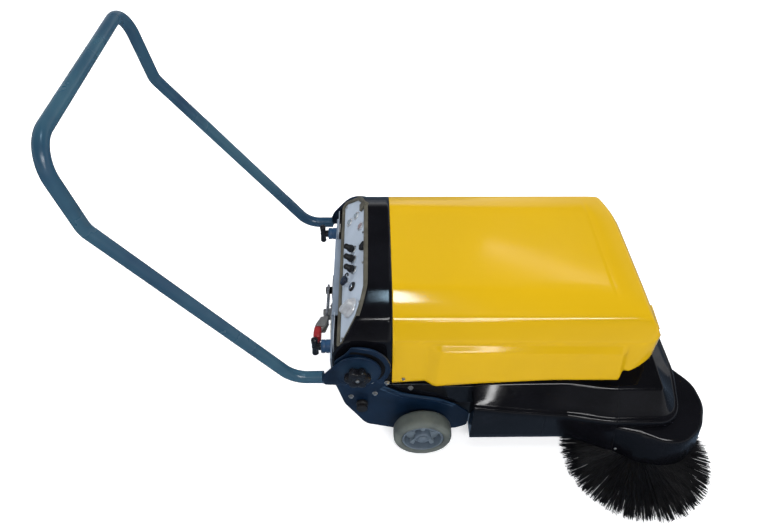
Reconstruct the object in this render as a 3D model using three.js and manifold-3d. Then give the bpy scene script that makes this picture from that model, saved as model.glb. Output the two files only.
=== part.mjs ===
// Walk-behind battery sweeper: push handle, tilting hood over battery and fan, sliding dirt hopper,
// belt-driven main broom, side brush under a corner cover, two main wheels and a front caster.
// Millimetres. X forward, Y to the left, Z up. While modelling, X = 0 is the main axle, Y = 0 the
// middle plane and Z = 0 the floor; the finished group is moved to the middle of its own bounding box.
import * as THREE from "three";
import { mergeVertices } from "three/addons/utils/BufferGeometryUtils.js";
import Module from "manifold-3d";

const wasm = await Module();
wasm.setup();

// ---- Driving dimensions ----
const GAP = 0.3; // clearance between two parts that touch
const WALL = 4; // moulded shell thickness
const SIDES = [["right", -1], ["left", 1]];

// Main wheels
const WHEEL_RADIUS = 80;
const WHEEL_INNER = 327; // distance of the wheel's inner face from the middle plane
const WHEEL_OUTER = 376;
const RIM_RADIUS = 57;
const RIM_INNER = 49;
const BOSS_RADIUS = 28;
const AXLE_RADIUS = 10;
const AXLE_END = 378;

// Handle: bends of one arm in side view, and its pivot
const ARM_Y = 305;
const TUBE_RADIUS = 16;
const TUBE_WALL = 2.5;
const ARM = [[-262, 278], [-341, 278], [-719, 793], [-756, 988]];
const ARM_BENDS = [100, 55, 75];
const PIVOT_X = -174;
const PIVOT_Z = 316;
const DISC_RADIUS = 60;
const RING_INNER = 70;
const RING_OUTER = 84;
const PLAIN_HEAD_RADIUS = 64; // head of the left side plate, which has no raised ring
const KNOB_RADIUS = 34;
const STOP_RADIUS = 16;

// Body section: half widths and heights from the lower edge to the top, at the seam and at the front
const SECTION_REAR = [[300, 212], [280, 387], [242, 435.5], [212, 451], [158, 470]];
const SECTION_FRONT = [[300, 212], [281, 378], [242, 434], [188, 446], [155, 450]];
const SEAM_X = -85;
const CREST_END_X = 505; // where the flat top turns down to the nose
const NOSE = [[578, 430], [698, 200]]; // front slope of the hood in side view
const HOOD_EDGE = [[SEAM_X - 5, 239], [0, 246], [22, 239.5], [146, 251], [336, 262], [509, 260], [515, 281],
  [536, 277], [594, 306], [646, 300], [720, 300]]; // lower edge of the hood in side view
const PANEL_OUT = 14; // how far the hood's flank panel stands out
const HOOD_HINGE = [618, 285];
const COWL_REAR_X = -238;

// Control panel plane: lower and upper edge in side view
const PANEL_LOW = [-220, 365];
const PANEL_HIGH = [-152, 465];
const PANEL_THICKNESS = 4;

// Base moulding
const DECK_Z = 225;
const DECK_WALL = 5;
const BASE_REAR_X = 133;
const BASE_FRONT_X = 705;
const BASE_HALF = 352;
const SKIRT_Z = 52;
const BASE_EDGE = [[100, 199], [260, 171], [395, 153], [521, 151], [610, 151], [730, 190]]; // shoulder in side view
const FLARE_START_X = 395; // the right skirt widens from here to the cover
const FLARE_TOP_Z = 150;
const LOBE_START_X = 521;
const LOBE_TOP_Z = 125;
const LOBE_LOW_Z = 40;
const LOBE_TOP = [[-366], [600, -386], [645, -412], [700, -412], [758, -368], [788, -296], [782, -225],
  [735, -166], [700, -150]]; // plan of the cover's top, from its start
const LOBE_LOW = [[-386], [582, -424], [645, -436], [700, -430], [762, -380], [797, -300], [790, -225],
  [738, -160], [700, -150]];

// Chassis frame plates
const FRAME_INNER = 272;
const FRAME_OUTER = 278;
const PLATE_INNER = 303;
const PLATE_OUTER = 308;

// Hopper
const HOPPER_HALF = 264;
const HOPPER_FLOOR = 48;
const HOPPER_TOP = 236;
const HOPPER_FRONT = 95;
const HOPPER_HEEL = [[-205, 120], [-148, HOPPER_FLOOR]]; // slanted lower rear corner
const FACE_X = -246;
const FACE_TOP = 345;
const PLUNGER_Y = 223;
const PLUNGER_Z = 302;
const FACE_FOOT = 222;
const FACE_OUTLINE = [[-276, FACE_FOOT], [276, FACE_FOOT], [276, 320], [185, 322], [150, FACE_TOP],
  [-150, FACE_TOP], [-185, 322], [-276, 320]]; // across and up
const PLUNGER_BAR_X = -289;
const BUSH_X = -272;
const BUSH_RADIUS = 18;

// Brooms
const BROOM_X = 250;
const BROOM_Z = 106;
const BROOM_RADIUS = 105;
const BROOM_HALF = 248;
const MOTOR_Z = 300;
const BELT_Y = 261;
const SIDE_BRUSH = [600, -375];
const SIDE_BRUSH_RADIUS = 208;
const BRUSH_DISC_RADIUS = 36;
const CASTER = [610, 60];
const CASTER_RADIUS = 45;
const CASTER_TRAIL = 28;

// ---- Materials ----
const material = (color, roughness, metalness) =>
  new THREE.MeshStandardMaterial({ color, roughness, metalness });
const YELLOW = material("#e0b010", 0.25, 0);
const BLACK = material("#0a0a0c", 0.3, 0);
const BLUE = material("#2b4a70", 0.4, 0.1);
const PANEL_GREY = material("#98a6b5", 0.5, 0);
const STEEL = material("#8a8f94", 0.4, 0.9);
const TYRE = material("#58605a", 0.8, 0);
const HUB = material("#5c6a78", 0.5, 0);
const DARK = material("#1c1c1e", 0.6, 0);
const BRISTLE = material("#08090a", 0.9, 0);
const RUBBER = material("#141414", 0.9, 0);
const CHROME = material("#b9bec2", 0.2, 1);
const RED = material("#8c1a1c", 0.5, 0);
const FILTER = material("#d8d4c4", 0.9, 0);
const LAMP = material("#3a5a4a", 0.3, 0);

// ---- Solid helpers ----

// A closed geometry as a solid, turned right side out if its faces point inwards.
function solidOf(geometry) {
  const bare = new THREE.BufferGeometry();
  bare.setAttribute("position", geometry.getAttribute("position"));
  if (geometry.index) bare.setIndex(geometry.index);
  const merged = mergeVertices(bare, 1e-3);
  const build = (triVerts) => new wasm.Manifold(new wasm.Mesh({
    numProp: 3,
    vertProperties: new Float32Array(merged.attributes.position.array),
    triVerts,
  }));
  const triangles = new Uint32Array(merged.index.array);
  const solid = build(triangles);
  if (solid.volume() > 0) return solid;
  return build(triangles.map((_, i) => triangles[i - (i % 3) + (2 - (i % 3))]));
}

function geometryOf(solid) {
  const mesh = solid.getMesh();
  const positions = new Float32Array(mesh.numVert * 3);
  for (let i = 0; i < mesh.numVert; i++)
    for (let k = 0; k < 3; k++) positions[i * 3 + k] = mesh.vertProperties[i * mesh.numProp + k];
  const geometry = new THREE.BufferGeometry();
  geometry.setAttribute("position", new THREE.BufferAttribute(positions, 3));
  geometry.setIndex(new THREE.BufferAttribute(mesh.triVerts, 1));
  geometry.computeVertexNormals();
  return geometry;
}

const join = (first, ...rest) => rest.reduce((sum, next) => sum.add(next), first);
const cut = (first, ...rest) => rest.reduce((sum, next) => sum.subtract(next), first);

// A box between two corners.
function box(x0, x1, y0, y1, z0, z1) {
  const geometry = new THREE.BoxGeometry(Math.abs(x1 - x0), Math.abs(y1 - y0), Math.abs(z1 - z0));
  geometry.translate((x0 + x1) / 2, (y0 + y1) / 2, (z0 + z1) / 2);
  return solidOf(geometry);
}

// For each axis of extrusion, the directions of the outline's two coordinates and of the depth.
const PLANES = {
  x: [[0, 1, 0], [0, 0, 1], [1, 0, 0]],
  y: [[0, 0, 1], [1, 0, 0], [0, 1, 0]],
  z: [[1, 0, 0], [0, 1, 0], [0, 0, 1]],
};

// Geometry drawn with its depth along Z, turned so that its depth runs along the given axis.
function turned(geometry, axis) {
  const basis = PLANES[axis].map((v) => new THREE.Vector3(...v));
  return geometry.applyMatrix4(new THREE.Matrix4().makeBasis(...basis));
}

// An outline swept between two positions along an axis: (y, z) points for x, (x, z) for y, (x, y) for z.
function prism(axis, points, low, high) {
  const flat = axis === "y" ? points.map(([x, z]) => [z, x]) : points;
  const shape = new THREE.Shape(flat.map(([a, b]) => new THREE.Vector2(a, b)));
  const depth = Math.abs(high - low);
  const geometry = new THREE.ExtrudeGeometry(shape, { depth, bevelEnabled: false, curveSegments: 8 });
  geometry.translate(0, 0, Math.min(low, high));
  return solidOf(turned(geometry, axis));
}

// A turned profile of (radius, position) points about an axis through a centre.
function turnedPart(axis, profile, centre, segments = 20) {
  const points = profile.map(([r, h]) => new THREE.Vector2(r, h));
  const geometry = new THREE.LatheGeometry(points, segments);
  geometry.rotateX(Math.PI / 2);
  turned(geometry, axis);
  geometry.translate(...centre);
  return solidOf(geometry);
}

// A plain cylinder along an axis between two positions on it.
function rod(axis, radius, low, high, centre, segments = 12) {
  const [a, b] = [Math.min(low, high), Math.max(low, high)];
  return turnedPart(axis, [[0, a], [radius, a], [radius, b], [0, b]], centre, segments);
}

// A tube wall along an axis.
function ring(axis, inner, outer, low, high, centre, segments = 20) {
  const [a, b] = [Math.min(low, high), Math.max(low, high)];
  const profile = [[inner, a], [outer, a], [outer, b], [inner, b], [inner, a]];
  return turnedPart(axis, profile, centre, segments);
}

// A solid through closed convex rings that have the same number of points.
function loft(rings) {
  const count = rings[0].length;
  const last = (rings.length - 1) * count;
  const index = [];
  for (let r = 0; r + 1 < rings.length; r++)
    for (let i = 0; i < count; i++) {
      const a = r * count + i;
      const b = r * count + ((i + 1) % count);
      index.push(a, b, b + count, a, b + count, a + count);
    }
  for (let i = 1; i + 1 < count; i++) index.push(0, i + 1, i, last, last + i, last + i + 1);
  const geometry = new THREE.BufferGeometry();
  geometry.setAttribute("position", new THREE.Float32BufferAttribute(rings.flat(2), 3));
  geometry.setIndex(index);
  return solidOf(geometry);
}

// A convex counterclockwise outline moved inwards by a wall.
function inset(points, wall) {
  const normal = (a, b) => {
    const length = Math.hypot(b[0] - a[0], b[1] - a[1]);
    return [-(b[1] - a[1]) / length, (b[0] - a[0]) / length];
  };
  return points.map((p, i) => {
    const before = normal(points[(i + points.length - 1) % points.length], p);
    const after = normal(p, points[(i + 1) % points.length]);
    const scale = wall / (1 + before[0] * after[0] + before[1] * after[1]);
    return [p[0] + scale * (before[0] + after[0]), p[1] + scale * (before[1] + after[1])];
  });
}

// Points on an arc, angles in degrees.
function arc(centre, radius, from, to, steps) {
  return Array.from({ length: steps + 1 }, (_, i) => {
    const angle = THREE.MathUtils.degToRad(from + ((to - from) * i) / steps);
    return [centre[0] + radius * Math.cos(angle), centre[1] + radius * Math.sin(angle)];
  });
}

const mirrored = (half) => [...half, ...half.map(([y, z]) => [-y, z]).reverse()];

// ---- The assembled group ----
const root = new THREE.Group();

function add(name, solid, look, parent = root) {
  const mesh = new THREE.Mesh(geometryOf(solid), look);
  mesh.name = name;
  parent.add(mesh);
}

// ---- Body shells ----

// The upper body's solid, drawn smaller by a wall, between two X positions.
function bodySolid(wall, rearX, frontX) {
  const drop = wall > 0 ? 60 : 0;
  const section = (half) => {
    const points = inset(mirrored(half), wall);
    const low = points.length - 1;
    points[0][1] -= drop;
    points[low][1] -= drop;
    return points;
  };
  const station = (x, half) => section(half).map(([y, z]) => [x, y, z]);
  return loft([
    station(rearX, SECTION_REAR),
    ...(frontX > SEAM_X ? [station(SEAM_X, SECTION_REAR), station(CREST_END_X, SECTION_FRONT)] : []),
    station(frontX, frontX > SEAM_X ? SECTION_FRONT : SECTION_REAR),
  ]);
}

// Raised panel on the hood's flank: its outer face stands out by the given height.
function flankPanel(side, height) {
  const sideY = (z) => 300 - (z - 212) * (20 / 175);
  const base = [[2, 216], [526, 216], [516, 376], [6, 378]];
  const face = [[30, 216], [511, 216], [500, 352], [39, 364]];
  const ringAt = (outline, out) => outline.map(([x, z]) => [x, side * (sideY(z) + out), z]);
  return loft([ringAt(base, -8), ringAt(base, -0.5), ringAt(face, height)]);
}

function hood() {
  const sides = [[NOSE[1][0], NOSE[1][1]], NOSE[0], [CREST_END_X, 450.5], [SEAM_X, 470.5], [SEAM_X, 200]];
  const plan = [[-90, -320], [492, -320], [592, -270], [700, -102]];
  const outline = [...plan, ...plan.map(([x, y]) => [x, -y]).reverse()];
  const shape = (wall) => {
    const body = bodySolid(wall, wall > 0 ? SEAM_X - 20 : SEAM_X, 720);
    const nose = inset(sides, wall).map(([x, z]) => [x < 0 ? x - 10 * Math.sign(wall) * 3 : x, z]);
    const low = nose.map(([x, z]) => [z < 230 && x > 0 ? x + 31.4 * Math.sign(wall) : x,
      z < 230 ? z - 60 * Math.sign(wall) : z]);
    const trimmed = body.intersect(prism("y", low, -400, 400));
    return trimmed.intersect(prism("z", inset(outline, wall), 100, 600));
  };
  const lower = [...HOOD_EDGE, [720, 100], [SEAM_X - 5, 100]];
  const outer = join(shape(0), ...SIDES.map(([, s]) => flankPanel(s, PANEL_OUT)));
  const inner = join(shape(WALL), ...SIDES.map(([, s]) => flankPanel(s, PANEL_OUT - WALL)));
  let shell = cut(outer, inner, prism("y", lower, -400, 400));
  const lug = [[608, 276], [628, 276], [640, 310], [607, 374], [590, 374]];
  for (const [, s] of SIDES) shell = join(shell, prism("y", lug, s * 128, s * 136));
  return cut(shell, rod("y", 6 + GAP, -160, 160, [HOOD_HINGE[0], 0, HOOD_HINGE[1]]));
}

function rearCowl() {
  const rim = 6;
  const [dx, dz] = [PANEL_HIGH[0] - PANEL_LOW[0], PANEL_HIGH[1] - PANEL_LOW[1]];
  const length = Math.hypot(dx, dz);
  const out = ([x, z], along) => [x - (rim * dz) / length + (along * dx) / length,
    z + (rim * dx) / length + (along * dz) / length];
  const profile = [[COWL_REAR_X, 238], [SEAM_X - GAP, 238], [SEAM_X - GAP, 480],
    out(PANEL_HIGH, 16), out(PANEL_LOW, 0), [COWL_REAR_X, 349]];
  const shell = cut(bodySolid(0, COWL_REAR_X - 12, SEAM_X), bodySolid(WALL, COWL_REAR_X - 20, SEAM_X + 20));
  return shell.intersect(prism("y", profile, -400, 400));
}

// ---- Base moulding and the side brush cover ----

// The corner lobe over the side brush, drawn smaller by a wall (larger by a negative one).
function lobe(wall) {
  const level = (z, [[startY], ...edge]) => {
    const outline = [[LOBE_START_X, startY], ...edge, [LOBE_START_X, -200]];
    return inset(outline, wall).map(([x, y]) => [x, y, z]);
  };
  const slack = wall > 0 ? 1 : -wall;
  return loft([level(LOBE_LOW_Z - slack, LOBE_LOW), level(LOBE_TOP_Z - wall, LOBE_TOP)]);
}

function baseSolid(wall) {
  const half = (edge) => [[BASE_HALF, 40], [BASE_HALF, edge - 16], [BASE_HALF - 3, edge - 5],
    [BASE_HALF - 11, edge + 1], [298, DECK_Z], [150, DECK_Z + 0.5]];
  const station = ([x, edge]) => {
    const points = inset(mirrored(half(edge)), wall);
    points[0][1] -= 40;
    points[points.length - 1][1] -= 40;
    return points.map(([y, z]) => [x, y, z]);
  };
  const body = loft(BASE_EDGE.map(station));
  const corner = 75 - wall;
  const front = BASE_FRONT_X - wall;
  const round = arc([BASE_FRONT_X - 75, BASE_HALF - 75], corner, 0, 90, 6);
  const back = BASE_REAR_X - (wall > 0 ? 20 : 0);
  const plan = [...round.map(([x, y]) => [x, -y]).reverse(), ...round, [back, BASE_HALF - wall],
    [back, -BASE_HALF + wall]];
  const sides = [[back, 0], [front, 0], [front, 180 - wall], [front - 8, 195 - wall], [640, DECK_Z - wall],
    [back, DECK_Z - wall]];
  const shell = body.intersect(prism("z", plan, 0, 400)).intersect(prism("y", sides, -400, 400));
  return join(shell, flare(wall));
}

// The right skirt widens towards the lobe and stays wide above it, up to the rounded corner.
function flare(wall) {
  const top = FLARE_TOP_Z - wall;
  const at = (x, low, high) => [[x, -300, 20], [x, low + wall, 20], [x, high + wall, top - 12],
    [x, high + 10 + wall, top], [x, -300, top]];
  return loft([at(FLARE_START_X + wall, -350, -350), at(LOBE_START_X, -394, -369),
    at(LOBE_START_X + 10, -369, -369), at(640 - wall, -368, -368), at(686 - wall, -332, -332)]);
}

function baseTub() {
  const skirtCut = box(0, 800, -500, 500, 0, SKIRT_Z);
  const rearOpening = box(110, 160, -290, 290, 0, DECK_Z - DECK_WALL);
  const beltSlot = box(BROOM_X - 42, BROOM_X + 42, BELT_Y - 10, BELT_Y + 10, 200, 240);
  let tub = cut(baseSolid(0), baseSolid(DECK_WALL));
  const wing = [[-114, 150], [137, 150], [137, 224], [52, 224], [40, 236], [-114, 236]];
  for (const [, s] of SIDES) {
    tub = join(tub, box(BASE_REAR_X, BASE_REAR_X + 5, s * 296, s * (BASE_HALF - 1), SKIRT_Z, 185));
    tub = join(tub, prism("y", wing, s * 296, s * 301));
  }
  return cut(tub, skirtCut, rearOpening, beltSlot, lobe(-GAP));
}

function sideBrushCover() {
  return cut(lobe(0), lobe(WALL));
}

add("base_tub", baseTub(), BLACK);
add("side_brush_cover", sideBrushCover(), BLACK);
add("rear_cowl", rearCowl(), BLACK);
add("hood", hood(), YELLOW);

// ---- Chassis frame ----
function chassis() {
  const side = [[-236, 262], [-210, 140], [-140, 44], [100, 44], [130, 60], [520, 60], [520, 219.5], [128, 219.5], [128, 262],
    [-196, 262], [-196, 335], [-236, 335]];
  let frame = box(514, 520, -FRAME_OUTER, FRAME_OUTER, 60, 219.5);
  for (const [, s] of SIDES) {
    frame = join(frame, prism("y", side, s * FRAME_INNER, s * FRAME_OUTER));
    frame = join(frame, box(-140, 90, s * 252, s * FRAME_INNER, 44, HOPPER_FLOOR - GAP));
  }
  frame = join(frame, box(-236, -230, -FRAME_INNER, FRAME_INNER, 272, 316));
  for (const x of [-176, 62]) frame = join(frame, box(x, x + 10, -FRAME_INNER, FRAME_INNER, 240, 262));
  frame = join(frame, box(-268, -232, -34, -22, 301, 319));
  for (const [, s] of SIDES)
    frame = cut(frame, rod("x", 5 + GAP, -250, -220, [0, s * PLUNGER_Y, PLUNGER_Z]));
  return frame;
}

// Blue side plate: wheel carrier, on the right with a raised ring round the handle's disc.
function sidePlate(s) {
  const pivot = [PIVOT_X, PIVOT_Z];
  const head = s < 0 ? [...arc(pivot, RING_OUTER, -34, 100, 12), [-206, 372], [-233, 345]]
    : arc(pivot, PLAIN_HEAD_RADIUS, -34, 228, 18);
  const outline = [[-235, 253], [-212, 159], [-156, 59], [-79, 34], [20, 27], [100, 30], [131, 47],
    [131, 110], [90, 150], [40, 178], [-5, 189], [-60, 205], [-104, 238], ...head];
  const centre = [PIVOT_X, 0, PIVOT_Z];
  let plate = prism("y", outline, s * PLATE_INNER, s * PLATE_OUTER);
  if (s < 0) {
    const raised = ring("y", RING_INNER, RING_OUTER, s * (PLATE_OUTER - 1), s * 312, centre, 24);
    plate = join(plate, raised.intersect(prism("y", outline, s * PLATE_INNER, s * 320)));
  }
  const lip = [[-104, 238], [-60, 205], [-5, 189], [40, 178], [90, 150], [84, 141], [37, 167],
    [-7, 177], [-66, 192], [-116, 229]];
  plate = join(plate, prism("y", lip, s * (PLATE_OUTER - 1), s * 314));
  for (const [x, z] of [[-194, 195], [-130, 208], [-90, 90], [100, 75]])
    plate = join(plate, rod("y", 9, s * (FRAME_OUTER + GAP), s * (PLATE_INNER + 1), [x, 0, z], 12));
  return cut(plate, rod("y", 6 + GAP, s * 300, s * 320, centre),
    rod("y", AXLE_RADIUS + GAP, s * 300, s * 320, [0, 0, WHEEL_RADIUS], 24));
}

add("chassis_frame", chassis(), DARK);
for (const [side, s] of SIDES) {
  add(`side_plate_${side}`, sidePlate(s), BLUE);
  const stop = [-165, 0, 166];
  add(`rubber_stop_${side}`, rod("y", STOP_RADIUS, s * (PLATE_OUTER + GAP), s * 332, stop, 16), RUBBER);
  const axle = join(
    rod("y", AXLE_RADIUS, s * (FRAME_OUTER + GAP), s * (AXLE_END - 4), [0, 0, WHEEL_RADIUS], 24),
    rod("y", 14, s * (AXLE_END - 5.5), s * AXLE_END, [0, 0, WHEEL_RADIUS], 24));
  add(`axle_${side}`, axle, STEEL);
}

// ---- Main wheels ----
const axleCentre = [0, 0, WHEEL_RADIUS];

function tyre(s) {
  const r = WHEEL_RADIUS;
  const [a, b] = [WHEEL_INNER, WHEEL_OUTER].map((y) => s * y);
  const profile = [[RIM_RADIUS, a], [70, a], [77, a + s * 4], [r, a + s * 12], [r, b - s * 12],
    [77, b - s * 4], [70, b], [RIM_RADIUS, b], [RIM_RADIUS, a]];
  return turnedPart("y", profile, axleCentre, 24);
}

function hub(s) {
  const bore = AXLE_RADIUS + GAP;
  const y = (distance) => s * distance;
  const rim = RIM_RADIUS - GAP;
  const [low, high] = [y(WHEEL_INNER + 3), y(AXLE_END - 6)];
  const [webLow, webHigh] = [y(344), y(352)];
  const profile = [[bore, low], [BOSS_RADIUS, low], [BOSS_RADIUS, webLow], [RIM_INNER, webLow], [RIM_INNER, low],
    [rim, low], [rim, high], [RIM_INNER, high], [RIM_INNER, webHigh], [BOSS_RADIUS, webHigh], [BOSS_RADIUS, high],
    [bore, high], [bore, low]];
  let wheel = turnedPart("y", profile, axleCentre, 24);
  for (let k = 0; k < 5; k++) {
    const angle = (k * 2 * Math.PI) / 5;
    const blade = new THREE.BoxGeometry(25, 24, 5);
    blade.translate((BOSS_RADIUS + RIM_INNER) / 2, s * 351, 0);
    blade.rotateY(angle);
    blade.translate(...axleCentre);
    wheel = join(wheel, solidOf(blade));
  }
  return wheel;
}

for (const [side, s] of SIDES) {
  add(`tyre_${side}`, tyre(s), TYRE);
  add(`hub_${side}`, hub(s), HUB);
}

// ---- Handle ----

// A path of straight lines joined by bends of given radii.
function bentPath(corners, radii) {
  const path = new THREE.CurvePath();
  let start = corners[0];
  for (let i = 1; i + 1 < corners.length; i++) {
    const before = corners[i - 1].clone().sub(corners[i]).normalize();
    const after = corners[i + 1].clone().sub(corners[i]).normalize();
    const trim = radii[i - 1] / Math.tan(before.angleTo(after) / 2);
    const enter = corners[i].clone().addScaledVector(before, trim);
    const leave = corners[i].clone().addScaledVector(after, trim);
    path.add(new THREE.LineCurve3(start, enter));
    path.add(new THREE.QuadraticBezierCurve3(enter, corners[i], leave));
    start = leave;
  }
  path.add(new THREE.LineCurve3(start, corners.at(-1)));
  return path;
}

function handleTube() {
  const right = ARM.map(([x, z]) => new THREE.Vector3(x, -ARM_Y, z));
  const left = ARM.map(([x, z]) => new THREE.Vector3(x, ARM_Y, z)).reverse();
  const radii = [...ARM_BENDS, ...[...ARM_BENDS].reverse()];
  const circle = (radius) => Array.from({ length: 10 }, (_, i) => new THREE.Vector2(
    radius * Math.cos((i * Math.PI) / 5), radius * Math.sin((i * Math.PI) / 5)));
  const section = new THREE.Shape(circle(TUBE_RADIUS));
  section.holes.push(new THREE.Path(circle(TUBE_RADIUS - TUBE_WALL)));
  const extrudePath = bentPath([...right, ...left], radii);
  return solidOf(new THREE.ExtrudeGeometry(section, { steps: 52, extrudePath, bevelEnabled: false }));
}

// Pressed disc at the end of each arm, with a neck up to the tube and a spacer against the side plate.
function handlePlate(s) {
  const centre = [PIVOT_X, 0, PIVOT_Z];
  const neck = [[-261.7, 263], [-232, 259], [-190, 258], [PIVOT_X, PIVOT_Z], [-208, 366], [-232, 318],
    [-261.7, 293]];
  let plate = rod("y", DISC_RADIUS, s * 313, s * 320, centre, 28);
  plate = join(plate, prism("y", neck, s * 313, s * 320));
  plate = join(plate, rod("y", 30, s * (PLATE_OUTER + GAP), s * 314, centre, 16));
  return cut(plate, rod("y", 6 + GAP, s * 300, s * 330, centre));
}

// Six-lobed clamping knob with its screw.
function clampKnob(s) {
  const points = Array.from({ length: 24 }, (_, i) => {
    const angle = (i * Math.PI) / 12;
    const r = KNOB_RADIUS - 4.5 + 4.5 * Math.cos(6 * angle);
    return [PIVOT_X + r * Math.cos(angle), PIVOT_Z + r * Math.sin(angle)];
  });
  const centre = [PIVOT_X, 0, PIVOT_Z];
  return join(prism("y", points, s * 326, s * 348),
    rod("y", 16, s * (320 + GAP), s * 327, centre, 20), rod("y", 6, s * 302, s * 322, centre));
}

add("handle_tube", handleTube(), BLUE);
for (const [side, s] of SIDES) {
  add(`handle_plate_${side}`, handlePlate(s), BLUE);
  add(`clamp_knob_${side}`, clampKnob(s), DARK);
}

// ---- Hopper with its latch and index plungers ----
function hopperBin() {
  const outline = [[FACE_X + 5 + GAP, HOPPER_TOP], ...HOPPER_HEEL, [HOPPER_FRONT - 30, HOPPER_FLOOR],
    [HOPPER_FRONT, 72], [HOPPER_FRONT, 120], [30, HOPPER_TOP]];
  const inside = inset(outline, WALL).map(([x, z]) => [x, z > HOPPER_TOP - 2 * WALL ? HOPPER_TOP + 60 : z]);
  return cut(prism("y", outline, -HOPPER_HALF, HOPPER_HALF),
    prism("y", inside, WALL - HOPPER_HALF, HOPPER_HALF - WALL));
}

function hopperFace() {
  const plate = prism("x", FACE_OUTLINE, FACE_X, FACE_X + 5);
  const flange = box(FACE_X, -224, -150, 150, FACE_TOP - 4, FACE_TOP);
  const window = box(-260, -230, -40, -16, 297, 323);
  return cut(join(plate, flange), window,
    ...SIDES.map(([, s]) => rod("x", 5 + GAP, -260, -230, [0, s * PLUNGER_Y, PLUNGER_Z])));
}

add("hopper_bin", hopperBin(), DARK);
add("hopper_face", hopperFace(), PANEL_GREY);
for (const [side, s] of SIDES) {
  const centre = [0, s * PLUNGER_Y, PLUNGER_Z];
  add(`plunger_bush_${side}`, ring("x", 5 + GAP, BUSH_RADIUS, BUSH_X, FACE_X - GAP, centre, 20), BLUE);
  const bar = rod("z", 9, PLUNGER_Z - 32, PLUNGER_Z + 32, [PLUNGER_BAR_X, s * PLUNGER_Y, 0], 14);
  const stem = join(rod("x", 5, PLUNGER_BAR_X, -228, centre),
    rod("x", 11, PLUNGER_BAR_X, BUSH_X - GAP, centre, 16));
  add(`plunger_${side}`, join(stem, bar), RUBBER);
}

// Toggle latch: the base on the hopper face, the lever on the base's pin, the hook on the lever.
const LATCH_PIN = [-264, -118];
const HOOK_PIN = [-260, -134];

function latchBase() {
  const plate = box(FACE_X - 3 - GAP, FACE_X - GAP, -150, -95, 290, 330);
  const ear = (z) => box(-270, FACE_X - 2, -126, -110, z, z + 3);
  return join(plate, ear(299.3), ear(317.7), rod("z", 3, 300, 320, [...LATCH_PIN, 0], 12));
}

function latchLever() {
  const arm = [[-270, -109], [-256, -109], [-256, -140], [-272, -171.7], [-287, -171.7], [-270, -140]];
  const cheek = [[-270, -139.5], [-254, -139.5], [-264, -171.7], [-291, -171.7], [-276, -139.5]];
  const body = join(prism("z", arm, 303, 317), prism("z", cheek, 294, 326));
  return cut(body, rod("z", 3 + GAP, 290, 330, [...LATCH_PIN, 0], 12),
    rod("z", 3 + GAP, 290, 330, [...HOOK_PIN, 0], 12));
}

function latchHook() {
  const bars = [295, 325].map((z) => rod("y", 3, HOOK_PIN[1], -18, [HOOK_PIN[0], 0, z], 12));
  return join(...bars, rod("z", 3, 295, 325, [...HOOK_PIN, 0], 12),
    rod("z", 3, 292, 328, [HOOK_PIN[0], -18, 0], 12));
}

add("latch_base", latchBase(), STEEL);
add("latch_lever", latchLever(), STEEL);
add("latch_grip", box(-294, -273, -208, -172, 294, 326), RED);
add("latch_hook", latchHook(), CHROME);

// ---- Main broom, its motor and belt ----
function stadium(inner) {
  const low = arc([BROOM_X, BROOM_Z], 38.6 + (inner ? 0 : 4), 180, 360, 16);
  const high = arc([BROOM_X, MOTOR_Z], 22.6 + (inner ? 0 : 4), 0, 180, 16);
  return [...low, ...high];
}

const broomAxis = [BROOM_X, 0, BROOM_Z];
const motorAxis = [BROOM_X, 0, MOTOR_Z];
add("broom_core", join(rod("y", 40, -250, 250, broomAxis, 24),
  rod("y", 10, -FRAME_INNER + GAP, FRAME_INNER - GAP, broomAxis)), DARK);
add("broom_bristles", ring("y", 40 + GAP, BROOM_RADIUS, -BROOM_HALF, BROOM_HALF, broomAxis, 32), BRISTLE);
add("broom_pulley", ring("y", 10 + GAP, 38, 254, 268, broomAxis, 28), STEEL);
add("drive_belt", cut(prism("y", stadium(false), BELT_Y - 4, BELT_Y + 4),
  prism("y", stadium(true), BELT_Y - 10, BELT_Y + 10)), RUBBER);
add("motor_pulley", ring("y", 8 + GAP, 22, 254, 268, motorAxis, 24), STEEL);
add("broom_motor", join(rod("y", 52, 60, 235, motorAxis, 24), rod("y", 8, 230, 267, motorAxis),
  box(BROOM_X - 45, BROOM_X + 45, 80, 95, DECK_Z + 1, MOTOR_Z),
  box(BROOM_X - 45, BROOM_X + 45, 200, 215, DECK_Z + 1, MOTOR_Z)), STEEL);

// ---- Side brush ----
function sideBrushBristles() {
  const profile = [[20, 43.7], [BRUSH_DISC_RADIUS, 43.7], [BRUSH_DISC_RADIUS + 8, 38.5], [SIDE_BRUSH_RADIUS, 8],
    [SIDE_BRUSH_RADIUS, 1], [140, 1], [20, 33], [20, 43.7]];
  return turnedPart("z", profile, [...SIDE_BRUSH, 0], 36);
}

function sideBrushDrive() {
  const [x, y] = SIDE_BRUSH;
  const gears = [...arc([x, y], 22, 150, 330, 10), ...arc([648, -290], 34, -30, 150, 10)];
  return join(prism("z", gears, 60, 80), rod("z", 36, 70, LOBE_TOP_Z - WALL - GAP, [648, -290, 0], 24),
    rod("z", 8, 57 + GAP, 62, [x, y, 0]));
}

add("side_brush_disc", rod("z", BRUSH_DISC_RADIUS, 44, 57, [...SIDE_BRUSH, 0], 32), DARK);
add("side_brush_bristles", sideBrushBristles(), BRISTLE);
add("side_brush_drive", sideBrushDrive(), DARK);

// ---- Front caster ----
const casterAxle = [CASTER[0] - CASTER_TRAIL, CASTER_RADIUS];
add("caster_plate", join(box(572, 632, 20, 100, 212, DECK_Z - DECK_WALL - 1),
  rod("z", 26, 142, 213, [...CASTER, 0], 24), rod("z", 8, 116, 143, [...CASTER, 0])), STEEL);

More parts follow.
